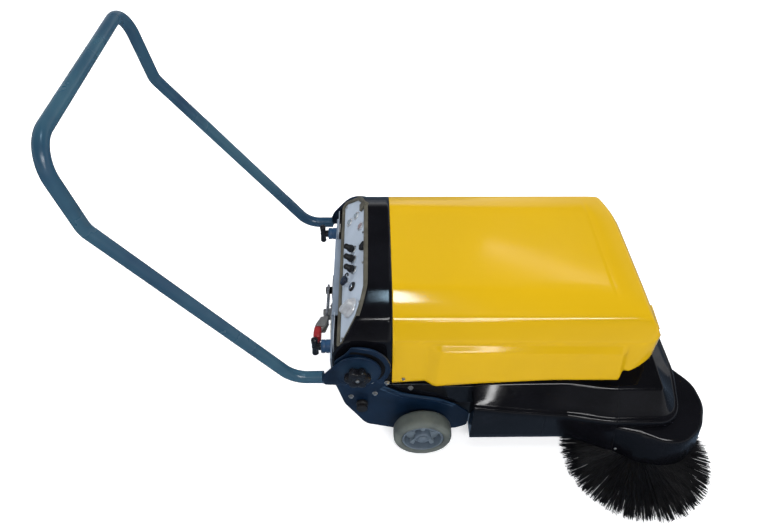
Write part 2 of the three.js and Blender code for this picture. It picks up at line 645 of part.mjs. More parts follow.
function casterFork() {
  const head = rod("z", 28, 117, 142 - GAP, [...CASTER, 0], 24);
  const leg = [[CASTER[0] - 26, 130], [CASTER[0] + 20, 130], [casterAxle[0] + 12, 36], [casterAxle[0] - 12, 36]];
  const legs = SIDES.map(([, s]) => prism("y", leg, CASTER[1] + s * 19, CASTER[1] + s * 23));
  const pin = rod("y", 6, CASTER[1] - 26, CASTER[1] + 26, [casterAxle[0], 0, casterAxle[1]]);
  return cut(join(head, ...legs, pin), rod("z", 8 + GAP, 115, 150, [...CASTER, 0]));
}

add("caster_fork", casterFork(), STEEL);
add("caster_wheel", turnedPart("y", [[6 + GAP, -15], [40, -15], [CASTER_RADIUS, -10], [CASTER_RADIUS, 10],
  [40, 15], [6 + GAP, 15], [6 + GAP, -15]], [casterAxle[0], CASTER[1], casterAxle[1]], 28), TYRE);

// ---- Battery, filter and fan under the hood ----
const fanAxis = [-30, 0, 0];
add("battery", join(box(400, 565, -115, 115, DECK_Z + 1, 392),
  ...SIDES.map(([, s]) => rod("z", 8, 391, 404, [430, s * 80, 0]))), DARK);
add("filter_element", box(-172, 70, -225, 225, 262 + GAP, 318), FILTER);
add("fan_housing", cut(rod("z", 80, 318 + GAP, 388, fanAxis, 32), rod("z", 68, 326, 382, fanAxis, 32),
  rod("z", 30, 310, 330, fanAxis), box(-30, 80, 30, 66, 332, 376)), DARK);
add("fan_motor", join(rod("z", 46, 388 + GAP, 440, fanAxis, 24)), STEEL);
add("impeller", join(rod("z", 60, 368, 374, fanAxis, 28), rod("z", 14, 334, 369, fanAxis),
  ...Array.from({ length: 8 }, (_, k) => {
    const blade = new THREE.BoxGeometry(50, 2, 30);
    blade.translate(33, 0, 354);
    blade.rotateZ((k * Math.PI) / 4);
    blade.translate(...fanAxis);
    return solidOf(blade);
  })), DARK);
add("dust_flap", box(509, 514 - GAP, -160, 264, 6, 120), RUBBER);

function hoodHingeBar() {
  const posts = SIDES.map(([, s]) => box(606, 630, s * 112, s * 120, DECK_Z - 6, 294));
  const feet = box(590, 640, -124, 124, DECK_Z + 1, DECK_Z + 6);
  const bar = rod("y", 6, -148, 148, [HOOD_HINGE[0], 0, HOOD_HINGE[1]]);
  return cut(join(feet, bar, ...posts), box(580, 650, -130, 130, 200, DECK_Z + 1));
}
add("hood_hinge_bar", hoodHingeBar(), STEEL);

// ---- Control panel, in its own frame: X to the right, Y up the slope, Z out of the face ----
const panelGroup = new THREE.Group();
const up = new THREE.Vector3(PANEL_HIGH[0] - PANEL_LOW[0], 0, PANEL_HIGH[1] - PANEL_LOW[1]).normalize();
const right = new THREE.Vector3(0, -1, 0);
panelGroup.applyMatrix4(new THREE.Matrix4()
  .makeBasis(right, up, new THREE.Vector3().crossVectors(right, up))
  .setPosition(PANEL_LOW[0], 0, PANEL_LOW[1]));
root.add(panelGroup);

const PANEL_OUTLINE = [[270, 3], [270, 20], [229, 78], [194, 100], [155, 114]];
const LAMPS = [[-166, 70], [-170, 34], [-98, 92]];
const SWITCHES = [[-26, 62], [15, 64], [57, 66]];
const BUTTON = [66, 24];
const KEY = [110, 56];
const MAIN_KNOB = [181, 50];

function controlPanel() {
  const left = PANEL_OUTLINE.map(([u, v]) => [-u, v]).reverse();
  let plate = prism("z", [...PANEL_OUTLINE, ...left], -PANEL_THICKNESS, 0);
  for (const [u, v] of SWITCHES) plate = join(plate, rod("z", 12, -1, 3, [u, v, 0], 20));
  plate = join(plate, rod("z", 12, -1, 2, [...BUTTON, 0], 20));
  return cut(plate, rod("z", 8 + GAP, -9, 9, [...BUTTON, 0], 20));
}

add("control_panel", controlPanel(), PANEL_GREY, panelGroup);
LAMPS.forEach(([u, v], i) => {
  const lens = [[0, GAP], [12, GAP], [12, 3], [8, 4], [6, 8], [0, 9]];
  add(`indicator_lamp_${i + 1}`, turnedPart("z", lens, [u, v, 0], 12), LAMP, panelGroup);
});
SWITCHES.forEach(([u, v], i) => {
  const boot = [[0, 3.4], [4.6, 4.3], [9, 6.5], [10.4, 9], [11.5, 13], [9, 20], [7, 31], [0, 34]];
  add(`toggle_switch_${i + 1}`, turnedPart("z", boot, [u, v, 0], 10), RUBBER, panelGroup);
});
add("push_button", turnedPart("z", [[0, -8], [8, -8], [8, 12], [6, 14], [0, 14]], [...BUTTON, 0], 20),
  DARK, panelGroup);
add("key_switch", join(rod("z", 11, GAP, 6, [...KEY, 0], 20), box(KEY[0] - 2, KEY[0] + 2, KEY[1] - 8,
  KEY[1] + 8, 5, 18)), CHROME, panelGroup);
add("main_knob", join(rod("z", 28, GAP, 7, [...MAIN_KNOB, 0], 28),
  box(MAIN_KNOB[0] - 8, MAIN_KNOB[0] + 8, MAIN_KNOB[1] - 26, MAIN_KNOB[1] + 26, 6, 22)), CHROME, panelGroup);
add("panel_clip", box(-12, 12, 104, 113, GAP, 9), RUBBER, panelGroup);

// ---- Origin at the middle of the bounding box's floor ----
root.updateMatrixWorld(true);
const bounds = new THREE.Box3().setFromObject(root, true);
const middle = bounds.getCenter(new THREE.Vector3());
root.position.set(-middle.x, -middle.y, -bounds.min.z);

export default root;
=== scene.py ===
"""Visual model of a walk-behind sweeper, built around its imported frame.

Shapes are drawn in millimetres with X = 0 on the main axle, Y = 0 on the middle plane and Z = 0 on the
floor, and `at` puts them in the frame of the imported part, in metres. X is forward and Y is to the left.
"""
import random
from math import cos, pi, radians, sin, tan

import bmesh
import bpy
from mathutils import Matrix, Vector


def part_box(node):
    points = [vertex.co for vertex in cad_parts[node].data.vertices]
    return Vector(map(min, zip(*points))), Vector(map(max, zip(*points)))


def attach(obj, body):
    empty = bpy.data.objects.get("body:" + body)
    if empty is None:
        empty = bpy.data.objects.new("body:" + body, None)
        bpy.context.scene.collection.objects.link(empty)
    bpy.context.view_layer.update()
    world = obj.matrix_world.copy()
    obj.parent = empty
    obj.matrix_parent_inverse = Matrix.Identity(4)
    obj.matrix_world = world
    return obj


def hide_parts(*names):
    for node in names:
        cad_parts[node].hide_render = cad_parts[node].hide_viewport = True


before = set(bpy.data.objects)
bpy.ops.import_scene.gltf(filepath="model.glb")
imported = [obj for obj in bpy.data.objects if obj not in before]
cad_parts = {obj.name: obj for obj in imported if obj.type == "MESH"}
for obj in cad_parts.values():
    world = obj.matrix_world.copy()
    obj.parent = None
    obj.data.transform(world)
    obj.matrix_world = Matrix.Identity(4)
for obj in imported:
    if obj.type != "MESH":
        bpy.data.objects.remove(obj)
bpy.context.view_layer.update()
random.seed(7)

MM = 0.001
SIDES = (("right", -1), ("left", 1))


def middle(node):
    low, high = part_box(node)
    return (low + high) / 2


ORIGIN = (middle("tyre_right") + middle("tyre_left")) / 2
ORIGIN.z = 0


def at(point):
    return ORIGIN + Vector(point) * MM


# ---- camera
def camera():
    data = bpy.data.cameras.new("camera")
    data.lens = 30.95
    data.sensor_width = 36
    data.clip_end = 100
    holder = bpy.data.objects.new("camera", data)
    forward = Vector((0.01101, 0.70885, -0.70527))
    right = Vector((0.99992, -0.01184, 0.00371))
    up = right.cross(forward)
    turn = Matrix((right, up, -forward)).transposed().to_4x4()
    holder.matrix_world = Matrix.Translation(at((-133.9, -1303.4, 1680.0))) @ turn
    bpy.context.scene.collection.objects.link(holder)
    bpy.context.scene.camera = holder


# ---- shapes: (points, faces) in millimetres
def place(axis, a, b, depth):
    return {"x": (depth, a, b), "y": (a, depth, b), "z": (a, b, depth)}[axis]


def circle(count, start=0.0):
    """Cosine and sine at equal steps round a circle."""
    angles = [start + 2 * pi * k / count for k in range(count)]
    return [(cos(angle), sin(angle)) for angle in angles]


def loft(rows, wrap=True, caps=False, close=False):
    """Quads between rows of points. wrap closes each row, close joins the last row to the first."""
    width = len(rows[0])
    points = [p for row in rows for p in row]
    faces = []
    last = len(rows) if close else len(rows) - 1
    for r in range(last):
        below, above = r * width, ((r + 1) % len(rows)) * width
        for i in range(width if wrap else width - 1):
            j = (i + 1) % width
            faces.append((below + i, below + j, above + j, above + i))
    if caps:
        faces.append(tuple(range(width)))
        faces.append(tuple(range(len(points) - width, len(points))))
    return points, faces


def mirrored(half):
    """A row of points carried on to the other side of the middle plane, from its last point back."""
    return half + [(x, -y, z) for x, y, z in reversed(half[:-1])]


def prism(axis, outline, low, high):
    rows = [[place(axis, a, b, depth) for a, b in outline] for depth in (low, high)]
    return loft(rows, caps=True)


def box(x0, x1, y0, y1, z0, z1):
    return prism("z", [(x0, y0), (x1, y0), (x1, y1), (x0, y1)], z0, z1)


def lathe(axis, profile, centre, segments=48, start=0.0, s=1):
    """A turned shape from a profile of (radius, height along the axis). s is 1 or -1 for the heights."""
    rows = []
    for radius, height in profile:
        ring = [place(axis, radius * c, radius * d, s * height) for c, d in circle(segments, start)]
        rows.append([tuple(a + b for a, b in zip(point, centre)) for point in ring])
    return loft(rows)


def rod(axis, radius, low, high, centre, segments=32, s=1):
    return lathe(axis, [(0, low), (radius, low), (radius, high), (0, high)], centre, segments, s=s)


def corner_arc(before, corner, after, radius, steps):
    """Points on the arc that rounds one corner, in two or three dimensions."""
    p = Vector(corner)
    a = Vector(before) - p
    b = Vector(after) - p
    angle = a.angle(b)
    if radius <= 0 or angle > pi - 0.02:
        return [tuple(p)]
    trim = min(radius / tan(angle / 2), 0.48 * a.length, 0.48 * b.length)
    start = p + a.normalized() * trim
    end = p + b.normalized() * trim
    middle_way = (a.normalized() + b.normalized()).normalized()
    centre = p + middle_way * (trim / cos(angle / 2))
    u, v = start - centre, end - centre
    turn = u.angle(v)
    points = []
    for k in range(steps + 1):
        t = k / steps
        ray = (u * sin((1 - t) * turn) + v * sin(t * turn)) / sin(turn)
        points.append(tuple(centre + ray))
    return points


def rounded(outline, radii, steps=6):
    count = len(outline)
    if isinstance(radii, (int, float)):
        radii = [radii] * count
    points = []
    for i in range(count):
        points += corner_arc(outline[i - 1], outline[i], outline[(i + 1) % count], radii[i], steps)
    return points


def bent(path, radii, steps=10):
    points = [tuple(path[0])]
    for i in range(1, len(path) - 1):
        points += corner_arc(path[i - 1], path[i], path[i + 1], radii[i - 1], steps)
    return points + [tuple(path[-1])]


def arc(centre, radius, start, end, steps):
    points = []
    for k in range(steps + 1):
        angle = radians(start + (end - start) * k / steps)
        points.append((centre[0] + radius * cos(angle), centre[1] + radius * sin(angle)))
    return points


def tube(path, radius, segments=12, close=False):
    """A round bar along a path. radius is one number or one for each point."""
    path = [Vector(p) for p in path]
    count = len(path)
    radii = [radius] * count if isinstance(radius, (int, float)) else radius
    heading = path[1] - path[0]
    side = heading.orthogonal().normalized()
    rows = []
    for i, point in enumerate(path):
        ahead = path[(i + 1) % count] if close else path[min(i + 1, count - 1)]
        behind = path[i - 1] if close or i else path[0]
        heading = (ahead - behind).normalized()
        side = (side - heading * side.dot(heading)).normalized()
        other = heading.cross(side)
        rows.append([tuple(point + (side * c + other * d) * radii[i]) for c, d in circle(segments)])
    return loft(rows, caps=not close, close=close)


def moved(shape, matrix):
    points, faces = shape
    return [tuple(matrix @ Vector(p)) for p in points], faces


# ---- pieces
def piece(name, shapes, body, look, replaces=(), bevel=0.0, sharp=50, wall=0.0, weighted=True):
    """One object from shapes in millimetres, with rounded edges, riding on a body of the frame."""
    points = []
    faces = []
    for shape_points, shape_faces in shapes:
        shift = len(points)
        points += [at(p) for p in shape_points]
        faces += [tuple(i + shift for i in face) for face in shape_faces]
    mesh = bpy.data.meshes.new(name)
    mesh.from_pydata(points, [], faces)
    bm = bmesh.new()
    bm.from_mesh(mesh)
    bmesh.ops.remove_doubles(bm, verts=bm.verts, dist=3e-6)
    bmesh.ops.dissolve_degenerate(bm, edges=bm.edges, dist=2e-6)
    bmesh.ops.recalc_face_normals(bm, faces=bm.faces)
    if wall and max(bm.faces, key=lambda face: face.calc_center_median().z).normal.z < 0:
        for face in bm.faces:
            face.normal_flip()
    if bevel:
        corners = [e for e in bm.edges if len(e.link_faces) == 2 and e.calc_face_angle() > radians(28)]
        bmesh.ops.bevel(bm, geom=corners, offset=bevel * MM, segments=2, profile=0.5, affect="EDGES",
            clamp_overlap=True)
    for edge in bm.edges:
        if len(edge.link_faces) == 2:
            edge.smooth = edge.calc_face_angle() < radians(sharp)
    for face in bm.faces:
        face.smooth = True
    bm.to_mesh(mesh)
    bm.free()
    mesh.materials.append(look)
    made = bpy.data.objects.new(name, mesh)
    bpy.context.scene.collection.objects.link(made)
    if wall:
        shell = made.modifiers.new("wall", "SOLIDIFY")
        shell.thickness = wall * MM
        shell.offset = -1
    if weighted:
        normals = made.modifiers.new("normals", "WEIGHTED_NORMAL")
        normals.keep_sharp = True
        normals.weight = 80
    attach(made, body)
    if replaces:
        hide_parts(*replaces)
    return made


def finish_node(name, look, bevel=1.0):
    """A frame node that stays, with its own surface and rounded edges."""
    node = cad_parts[name]
    if node.data.materials:
        node.data.materials[0] = look
    else:
        node.data.materials.append(look)
    weld = node.modifiers.new("weld", "WELD")
    weld.merge_threshold = 1e-5
    edge = node.modifiers.new("edge", "BEVEL")
    edge.limit_method = "ANGLE"
    edge.angle_limit = radians(35)
    edge.width = bevel * MM
    edge.segments = 2
    normals = node.modifiers.new("normals", "WEIGHTED_NORMAL")
    normals.keep_sharp = True


# ---- surfaces
def surface(name, colour, roughness, metallic=0.0, specular=0.5, coat=0.0, mottle=0.08,
        mottle_scale=9.0, rough_range=0.08, grain=0.0, grain_scale=700.0, wear=None, second=None):
    """A procedural surface: slow colour variation, uneven gloss, fine grain and optional wear on edges."""
    made = bpy.data.materials.new(name)
    made.use_nodes = True
    nodes = made.node_tree.nodes
    link = made.node_tree.links.new
    shader = nodes["Principled BSDF"]
    place_on = nodes.new("ShaderNodeTexCoord")

    def fill(target, **values):
        for key, value in values.items():
            target.inputs[key.replace("_", " ")].default_value = value
        return target

    def noise(scale, detail=4.0):
        made_node = fill(nodes.new("ShaderNodeTexNoise"), Scale=scale, Detail=detail)
        link(place_on.outputs["Object"], made_node.inputs["Vector"])
        return made_node.outputs["Fac"]

    def mapped(source, **limits):
        spread = fill(nodes.new("ShaderNodeMapRange"), **limits)
        link(source, spread.inputs["Value"])
        return spread.outputs["Result"]

    fill(shader, Metallic=metallic, Specular_IOR_Level=specular, Coat_Weight=coat, Coat_Roughness=0.08)
    shades = nodes.new("ShaderNodeValToRGB")
    low = second or tuple(c * (1 - mottle) for c in colour)
    high = tuple(min(1.0, c * (1 + mottle)) for c in colour)
    for stop, position, shade in zip(shades.color_ramp.elements, (0.35, 0.65), (low, high)):
        stop.position = position
        stop.color = (*shade, 1)
    link(noise(mottle_scale), shades.inputs["Fac"])
    colour_out = shades.outputs["Color"]
    if wear:
        worn_colour, worn_share = wear
        geometry = nodes.new("ShaderNodeNewGeometry")
        edge = mapped(geometry.outputs["Pointiness"], From_Min=0.55, From_Max=0.64, To_Max=worn_share)
        mix = nodes.new("ShaderNodeMix")
        mix.data_type = "RGBA"
        mix.inputs[7].default_value = (*worn_colour, 1)
        link(edge, mix.inputs[0])
        link(colour_out, mix.inputs[6])
        colour_out = mix.outputs[2]
    link(colour_out, shader.inputs["Base Color"])
    smoothest, roughest = max(0.02, roughness - rough_range), min(1.0, roughness + rough_range)
    gloss = mapped(noise(mottle_scale * 3.1), To_Min=smoothest, To_Max=roughest)
    link(gloss, shader.inputs["Roughness"])
    if grain:
        bump = fill(nodes.new("ShaderNodeBump"), Strength=grain, Distance=0.0006)
        link(noise(grain_scale, 2.0), bump.inputs["Height"])
        link(bump.outputs["Normal"], shader.inputs["Normal"])
    return made


YELLOW = surface("yellow_gel_coat", (0.59, 0.36, 0.0055), 0.12, mottle=0.03, mottle_scale=3, grain=0.05,
    grain_scale=160, rough_range=0.05)
BLACK = surface("black_moulding", (0.0032, 0.0034, 0.0048), 0.12, specular=0.3, mottle=0.25,
    mottle_scale=14, grain=0.06, grain_scale=220)
BLUE = surface("blue_powder_coat", (0.0035, 0.012, 0.03), 0.34, specular=0.2, mottle=0.25,
    mottle_scale=16, grain=0.12, grain_scale=900, wear=((0.06, 0.13, 0.22), 0.5))
BLUE_BRIGHT = surface("blue_bush_paint", (0.016, 0.055, 0.125), 0.35, mottle=0.2, mottle_scale=40,
    grain=0.08)
# Dark navy handle paint mixed in large blotches with a lighter teal (second): the teal is painted sheen,
# broad highlights painted into the tube's colour.
HANDLE_BLUE_WITH_PAINTED_SHEEN = surface("handle_blue_with_painted_sheen", (0.009, 0.032, 0.07), 0.26, mottle_scale=3.4,
    second=(0.032, 0.09, 0.13), grain=0.08, grain_scale=900)
FRAME_BLACK = surface("frame_paint_black", (0.014, 0.014, 0.016), 0.42, mottle=0.3, mottle_scale=18,
    grain=0.15)
PANEL = surface("panel_powder_coat", (0.36, 0.42, 0.5), 0.45, mottle=0.07, mottle_scale=12, grain=0.2,
    grain_scale=1500)
FACE = surface("face_powder_coat", (0.17, 0.21, 0.27), 0.42, mottle=0.12, mottle_scale=10, grain=0.15,
    grain_scale=1200)
TRIM = surface("trim_olive", (0.075, 0.07, 0.052), 0.55, mottle=0.25, mottle_scale=30, grain=0.2)
STEEL = surface("zinc_plate", (0.5, 0.5, 0.49), 0.33, metallic=0.9, mottle=0.15, mottle_scale=70, grain=0.1)
CHROME = surface("bright_metal", (0.78, 0.78, 0.8), 0.2, metallic=1.0, mottle=0.06, mottle_scale=60)
KNOB_SILVER = surface("knob_silver", (0.62, 0.63, 0.65), 0.32, metallic=0.55, mottle=0.08,
    mottle_scale=60, grain=0.06)
TYRE = surface("grey_rubber", (0.092, 0.105, 0.094), 0.62, mottle=0.14, mottle_scale=24, grain=0.25,
    grain_scale=420, second=(0.068, 0.08, 0.075))
HUB = surface("hub_plastic", (0.085, 0.113, 0.145), 0.42, mottle=0.12, mottle_scale=30, grain=0.12,
    wear=((0.22, 0.27, 0.31), 0.5))
DARK = surface("dark_plastic", (0.006, 0.006, 0.008), 0.28, mottle=0.25, mottle_scale=40, grain=0.12)
SOFT_BLACK = surface("black_rubber", (0.0065, 0.0065, 0.0075), 0.55, mottle=0.2, mottle_scale=40, grain=0.3)
BIN_BLACK = surface("hopper_plastic", (0.022, 0.022, 0.024), 0.5, mottle=0.25, mottle_scale=12, grain=0.3)
BRISTLE = surface("nylon_bristle", (0.004, 0.004, 0.005), 0.42, specular=0.25, mottle=0.4, mottle_scale=60)
RED = surface("red_grip", (0.24, 0.012, 0.014), 0.4, mottle=0.15, mottle_scale=50, grain=0.1)
CREAM = surface("cream_plate", (0.42, 0.42, 0.36), 0.5, mottle=0.1, mottle_scale=60, grain=0.1)
LENS = surface("lamp_lens", (0.2, 0.24, 0.27), 0.15, coat=0.6, mottle=0.2, mottle_scale=90)
LENS_RED = surface("lamp_lens_red", (0.2, 0.16, 0.17), 0.15, coat=0.6, mottle=0.2, mottle_scale=90)
BUTTON_BLUE = surface("button_blue_black", (0.006, 0.01, 0.022), 0.25, mottle=0.2, mottle_scale=60,
    grain=0.1)
PAPER = surface("filter_paper", (0.6, 0.56, 0.46), 0.85, mottle=0.15, mottle_scale=30, grain=0.4)
# Near black for the real seam lines on the base, and for a thin sheet of painted shade in the gap round the
# left-hand handle disc.
SEAM_AND_SHADE_BLACK = surface("seam_black_and_painted_shade", (0.004, 0.004, 0.005), 0.6, specular=0.2, mottle=0.3, mottle_scale=30,
    grain=0.1)
CABLE_RED = surface("cable_red", (0.3, 0.02, 0.015), 0.45, mottle=0.15, mottle_scale=60, grain=0.1)


# ---- upper body: hood and rear cowl
SECTION_REAR = ((300, 212), (280, 387), (242, 435.5), (212, 451), (158, 470), (0, 470.4))
SECTION_FRONT = ((300, 212), (281, 378), (242, 434), (188, 446), (155, 450), (0, 450.4))
SECTION_TRIMS = (0, 7, 12, 12, 18, 0)  # length rounded off each side of a crease
SEAM_X = -85
CREST_END_X = 505
LOWER_EDGE = ((-200, 236), (-85, 239), (0, 246), (22, 239.5), (57, 244), (146, 251), (250, 257),
    (336, 262), (509, 260), (515, 281), (536, 277), (594, 306), (646, 300), (760, 300))
TOP_LINE = ((-300, 478), (505, 450.4), (578, 430), (698, 200))
PLAN_LINE = ((-300, 320), (492, 320), (592, 270), (700, 102))
CREST_SWEEP = {-1: 3, 1: 24}  # how far the nose crest turns back at each side
PANEL_OUT = 14
FLANK_SPLIT_Z = 344
HOOD_WALL = 4


def along(line, x):
    for (x0, v0), (x1, v1) in zip(line, line[1:]):
        if x <= x1:
            return v0 + (v1 - v0) * (x - x0) / (x1 - x0)
    return line[-1][1]


def soft_along(line, x, reach):
    """The value of a broken line at x, with its corners rounded over a reach on each side."""
    steps = 8
    return sum(along(line, x + reach * (k / steps - 0.5) * 2) for k in range(steps + 1)) / (steps + 1)


def soft_min(a, b, width):
    near = max(width - abs(a - b), 0) / width
    return min(a, b) - near * near * width / 4


def section(x):
    """Corners of the half section at x, from the lower edge to the middle."""
    t = min(1.25, max(0.0, (x - SEAM_X) / (CREST_END_X - SEAM_X)))
    return [tuple(a + (b - a) * t for a, b in zip(p, q)) for p, q in zip(SECTION_REAR, SECTION_FRONT)]


def section_points(x, low_z, lower_rows, upper_rows, crease_steps=5):
    """The half section at x as points (y, z): level rows up the flank, then rounded creases to the middle."""
    corners = section(x)
    (y0, z0), (y1, z1) = corners[0], corners[1]
    crease_z = z1 - SECTION_TRIMS[1]
    levels = [low_z + (FLANK_SPLIT_Z - low_z) * k / lower_rows for k in range(lower_rows)]
    levels += [FLANK_SPLIT_Z + (crease_z - FLANK_SPLIT_Z) * k / upper_rows for k in range(upper_rows)]
    points = [(y0 + (y1 - y0) * (z - z0) / (z1 - z0), z) for z in levels]
    for i in range(1, 5):
        trim = SECTION_TRIMS[i]
        p = Vector(corners[i])
        a = (Vector(corners[i - 1]) - p).normalized()
        b = (Vector(corners[i + 1]) - p).normalized()
        for k in range(crease_steps + 1):
            t = k / crease_steps
            q = p + a * trim * (1 - t) ** 2 + b * trim * t ** 2
            points.append((q.x, q.y))
        ahead = Vector(corners[i + 1])
        start = p + b * trim
        stop = ahead if i == 4 else ahead - b * SECTION_TRIMS[i + 1]
        inner = 14 if i == 4 else 3
        for k in range(1, inner + 1 if i == 4 else inner):
            q = start.lerp(stop, k / inner)
            points.append((q.x, q.y))
    return points


def ramp(value, low, high):
    t = min(1.0, max(0.0, (value - low) / (high - low)))
    return t * t * (3 - 2 * t)


def edge_ramp(value, low, high, soft=0.18):
    """A straight ramp with only its ends rounded."""
    t = (value - low) / (high - low)
    t = min(1 + soft, max(-soft, t))
    if t < soft:
        return (t + soft) ** 2 / (4 * soft)
    if t > 1 - soft:
        return 1 - (1 + soft - t) ** 2 / (4 * soft)
    return t


def panel_rise(x, z):
    """How far the raised flank panel stands out at a point of the flank."""
    up = z - 216
    rear = edge_ramp(x, 2 + up * 0.025, 30 + up * 0.061)
    front = edge_ramp(-x, up * 0.0625 - 526, up * 0.081 - 511)
    ledge_top = 378 - x * 0.0137
    ledge_low = 365 - x * 0.0282
    top = edge_ramp(-z, -ledge_top, -ledge_low, 0.12)
    return PANEL_OUT * rear * front * top


def stations(marks):
    """Positions between marks (position, spacing): each stretch is divided by the spacing at its start."""
    made = []
    for (start, spacing), (stop, _) in zip(marks, marks[1:]):
        count = max(1, round((stop - start) / spacing))
        made += [start + (stop - start) * k / count for k in range(count)]
    return made + [marks[-1][0]]


def hood():
    rows = []
    xs = stations([(SEAM_X, 2.5), (-80, 8), (0, 2.2), (42, 9), (460, 5), (492, 2), (509, 1.5), (515, 2),
        (530, 4), (560, 3), (600, 4), (640, 1.5), (645.8, 1)])
    for x in xs:
        low_z = along(LOWER_EDGE, x)
        plan = soft_along(PLAN_LINE, x, 12)
        halves = []
        for s in (-1, 1):
            half = []
            for y, z in section_points(x, low_z, 12, 18):
                out = y + (panel_rise(x, z) if z < 381 else 0)
                width = soft_min(out, plan, 8)
                sweep = CREST_SWEEP[s] * (max(0, width - 110) / 130) ** 2 if x > 470 else 0
                top = soft_along(TOP_LINE, x + min(sweep, 45), 9)
                height = soft_min(z, top, 11 if x > 490 else 4)
                half.append((x, s * width, max(height, low_z)))
            halves.append(half)
        rows.append(halves[0] + halves[1][-2::-1])
    shell = loft(rows, wrap=False)
    piece("hood_shell", [shell], "hood", YELLOW, ["hood"], wall=HOOD_WALL, sharp=60, weighted=False)
    lug = rounded([(608, 276), (628, 276), (640, 310), (607, 374), (590, 374)], [10, 10, 8, 4, 4])
    lugs = [prism("y", lug, s * 128, s * 136) for _, s in SIDES]
    piece("hood_lugs", lugs, "hood", YELLOW, bevel=1)
    screws = []
    for _, s in SIDES:
        head = [(0, 299.1), (2.2, 299.1), (4.6, 298.1), (5, 295.5), (0, 295.5)]
        screws.append(lathe("y", head, (-55, 0, 254), 20, s=s))
    piece("hood_screws", screws, "hood", STEEL)


COWL_REAR_LINE = ((200, -238), (349, -238), (368.4, -225), (481.6, -148), (500, -146))


def cowl():
    rows = []
    sample = section_points(SEAM_X, 239, 10, 5)
    for step in stations([(0, 0.04), (0.08, 0.12), (1, 1)]):
        half = []
        for y, z in sample:
            rear = along(COWL_REAR_LINE, z)
            x = rear + (SEAM_X - 0.8 - rear) * step
            turn_in = 2.4 * max(0.0, 1 - step / 0.06) ** 2
            half.append((x, -(y - turn_in), z - turn_in * (0.2 if z < 380 else 0.7)))
        rows.append(mirrored(half))
    piece("cowl_shell", [loft(rows, wrap=False)], "base", BLACK, ["rear_cowl"], wall=4, sharp=60,
        weighted=False)
    cowl_band(sample)


def cowl_band(sample):
    """A trim band on the cowl over the top of the panel opening."""
    upper = [Vector(point) for point in sample if point[1] > 438]
    rows = []
    for back, rise in ((-1.2, -1), (-1.2, 1.6), (0, 2.2), (7, 2.2), (8.6, 1.4), (9, -0.5)):
        half = []
        for i, point in enumerate(upper):
            run = upper[min(i + 1, len(upper) - 1)] - upper[max(i - 1, 0)]
            outward = Vector((run.y, -run.x)).normalized()
            y, z = point + outward * rise
            half.append((along(COWL_REAR_LINE, point.y) + back, -y, z))
        rows.append(mirrored(half))
    piece("cowl_trim_band", [loft(rows, wrap=False)], "base", TRIM, sharp=40)


# ---- base moulding and side brush cover
DECK_Z = 225
BASE_HALF = 352
SKIRT_Z = 52
LOBE_X = 521
FLARE_X = 395
EDGE_LINE = ((100, 199), (260, 171), (395, 153), (521, 150.5), (760, 150.5))
SLOPE_INSET = 70
BELT_SLOT = ((208, 292), (251, 271))  # opening in the deck for the drive belt, in x and y
WING_INNER, WING_OUTER = 296, 301


def right_half(x):
    """Half width of the right side at its shoulder."""
    return BASE_HALF + 18 * ramp(x, FLARE_X - 20, LOBE_X)


def base_outline():
    """Plan points from the rear right corner round the front to the rear left, with outward directions."""
    def corner(x, y, radius, start, steps):
        ways = [radians(start + 90 * k / steps) for k in range(1, steps + 1)]
        return [((x + radius * cos(way), y + radius * sin(way)), (cos(way), sin(way))) for way in ways]

    points = []
    for x in stations([(133, 12), (385, 6), (LOBE_X - 1.2, 1), (LOBE_X, 10), (635, 1)]):
        points.append(((x, -right_half(x)), (0, -1)))
    points += corner(635, -300, 70, -90, 14)
    for y in stations([(-285, 15), (-150.6, 0.6), (-150, 22), (277, 1)]):
        points.append(((705, y), (1, 0)))
    points += corner(630, 277, 75, 0, 12)
    for x in stations([(133, 18), (622, 1)])[::-1]:
        points.append(((x, BASE_HALF), (0, 1)))
    return points


def shoulder_z(x, y):
    """Height of the rounded shoulder, which climbs round the front corners."""
    return soft_along(EDGE_LINE, x, 14) + 40 * ramp(x, 630, 690) * ramp(-abs(y), -335, -215)


def flare(x, y, z):
    """How far the foot of the right skirt widens towards the side brush cover."""
    if y > -340 or x < FLARE_X or x > LOBE_X:
        return 0.0
    return 24 * ramp(x, FLARE_X, LOBE_X + 40) * 1.25 * (1 - min(1.0, max(0.0, (z - SKIRT_Z) / 75)))


def base_profile(edge, low):
    """The side of the base as (inset, z), from its foot over the shoulder and up the slope to the deck."""
    shoulder = max(edge - 15, low + 1)
    profile = [(0, low + (shoulder - low) * k / 6) for k in range(6)]
    profile += [(0, shoulder), (0.6, edge - 9), (2, edge - 5), (4.4, edge - 2), (7.6, edge - 0.3),
        (11, edge + 0.6), (14, edge + 2), (17, edge + 4.6)]
    for k in range(1, 6):
        t = k / 5
        profile.append((17 + (SLOPE_INSET - 17) * t, edge + 4.6 + (DECK_Z - edge - 4.6) * t))
    return profile


def base_row(place_on, outward, proud=0.0):
    (x, y), (ox, oy) = place_on, outward
    over_lobe = x > LOBE_X - 0.5 and y < -150.2
    low = LOBE_TOP_Z + 0.4 if over_lobe else SKIRT_Z
    row = []
    for inset, z in base_profile(shoulder_z(x, y), low):
        out = flare(x, y, z) - inset + proud
        row.append((x + ox * out, y + oy * out, z + (proud if inset > 5 else 0)))
    return row


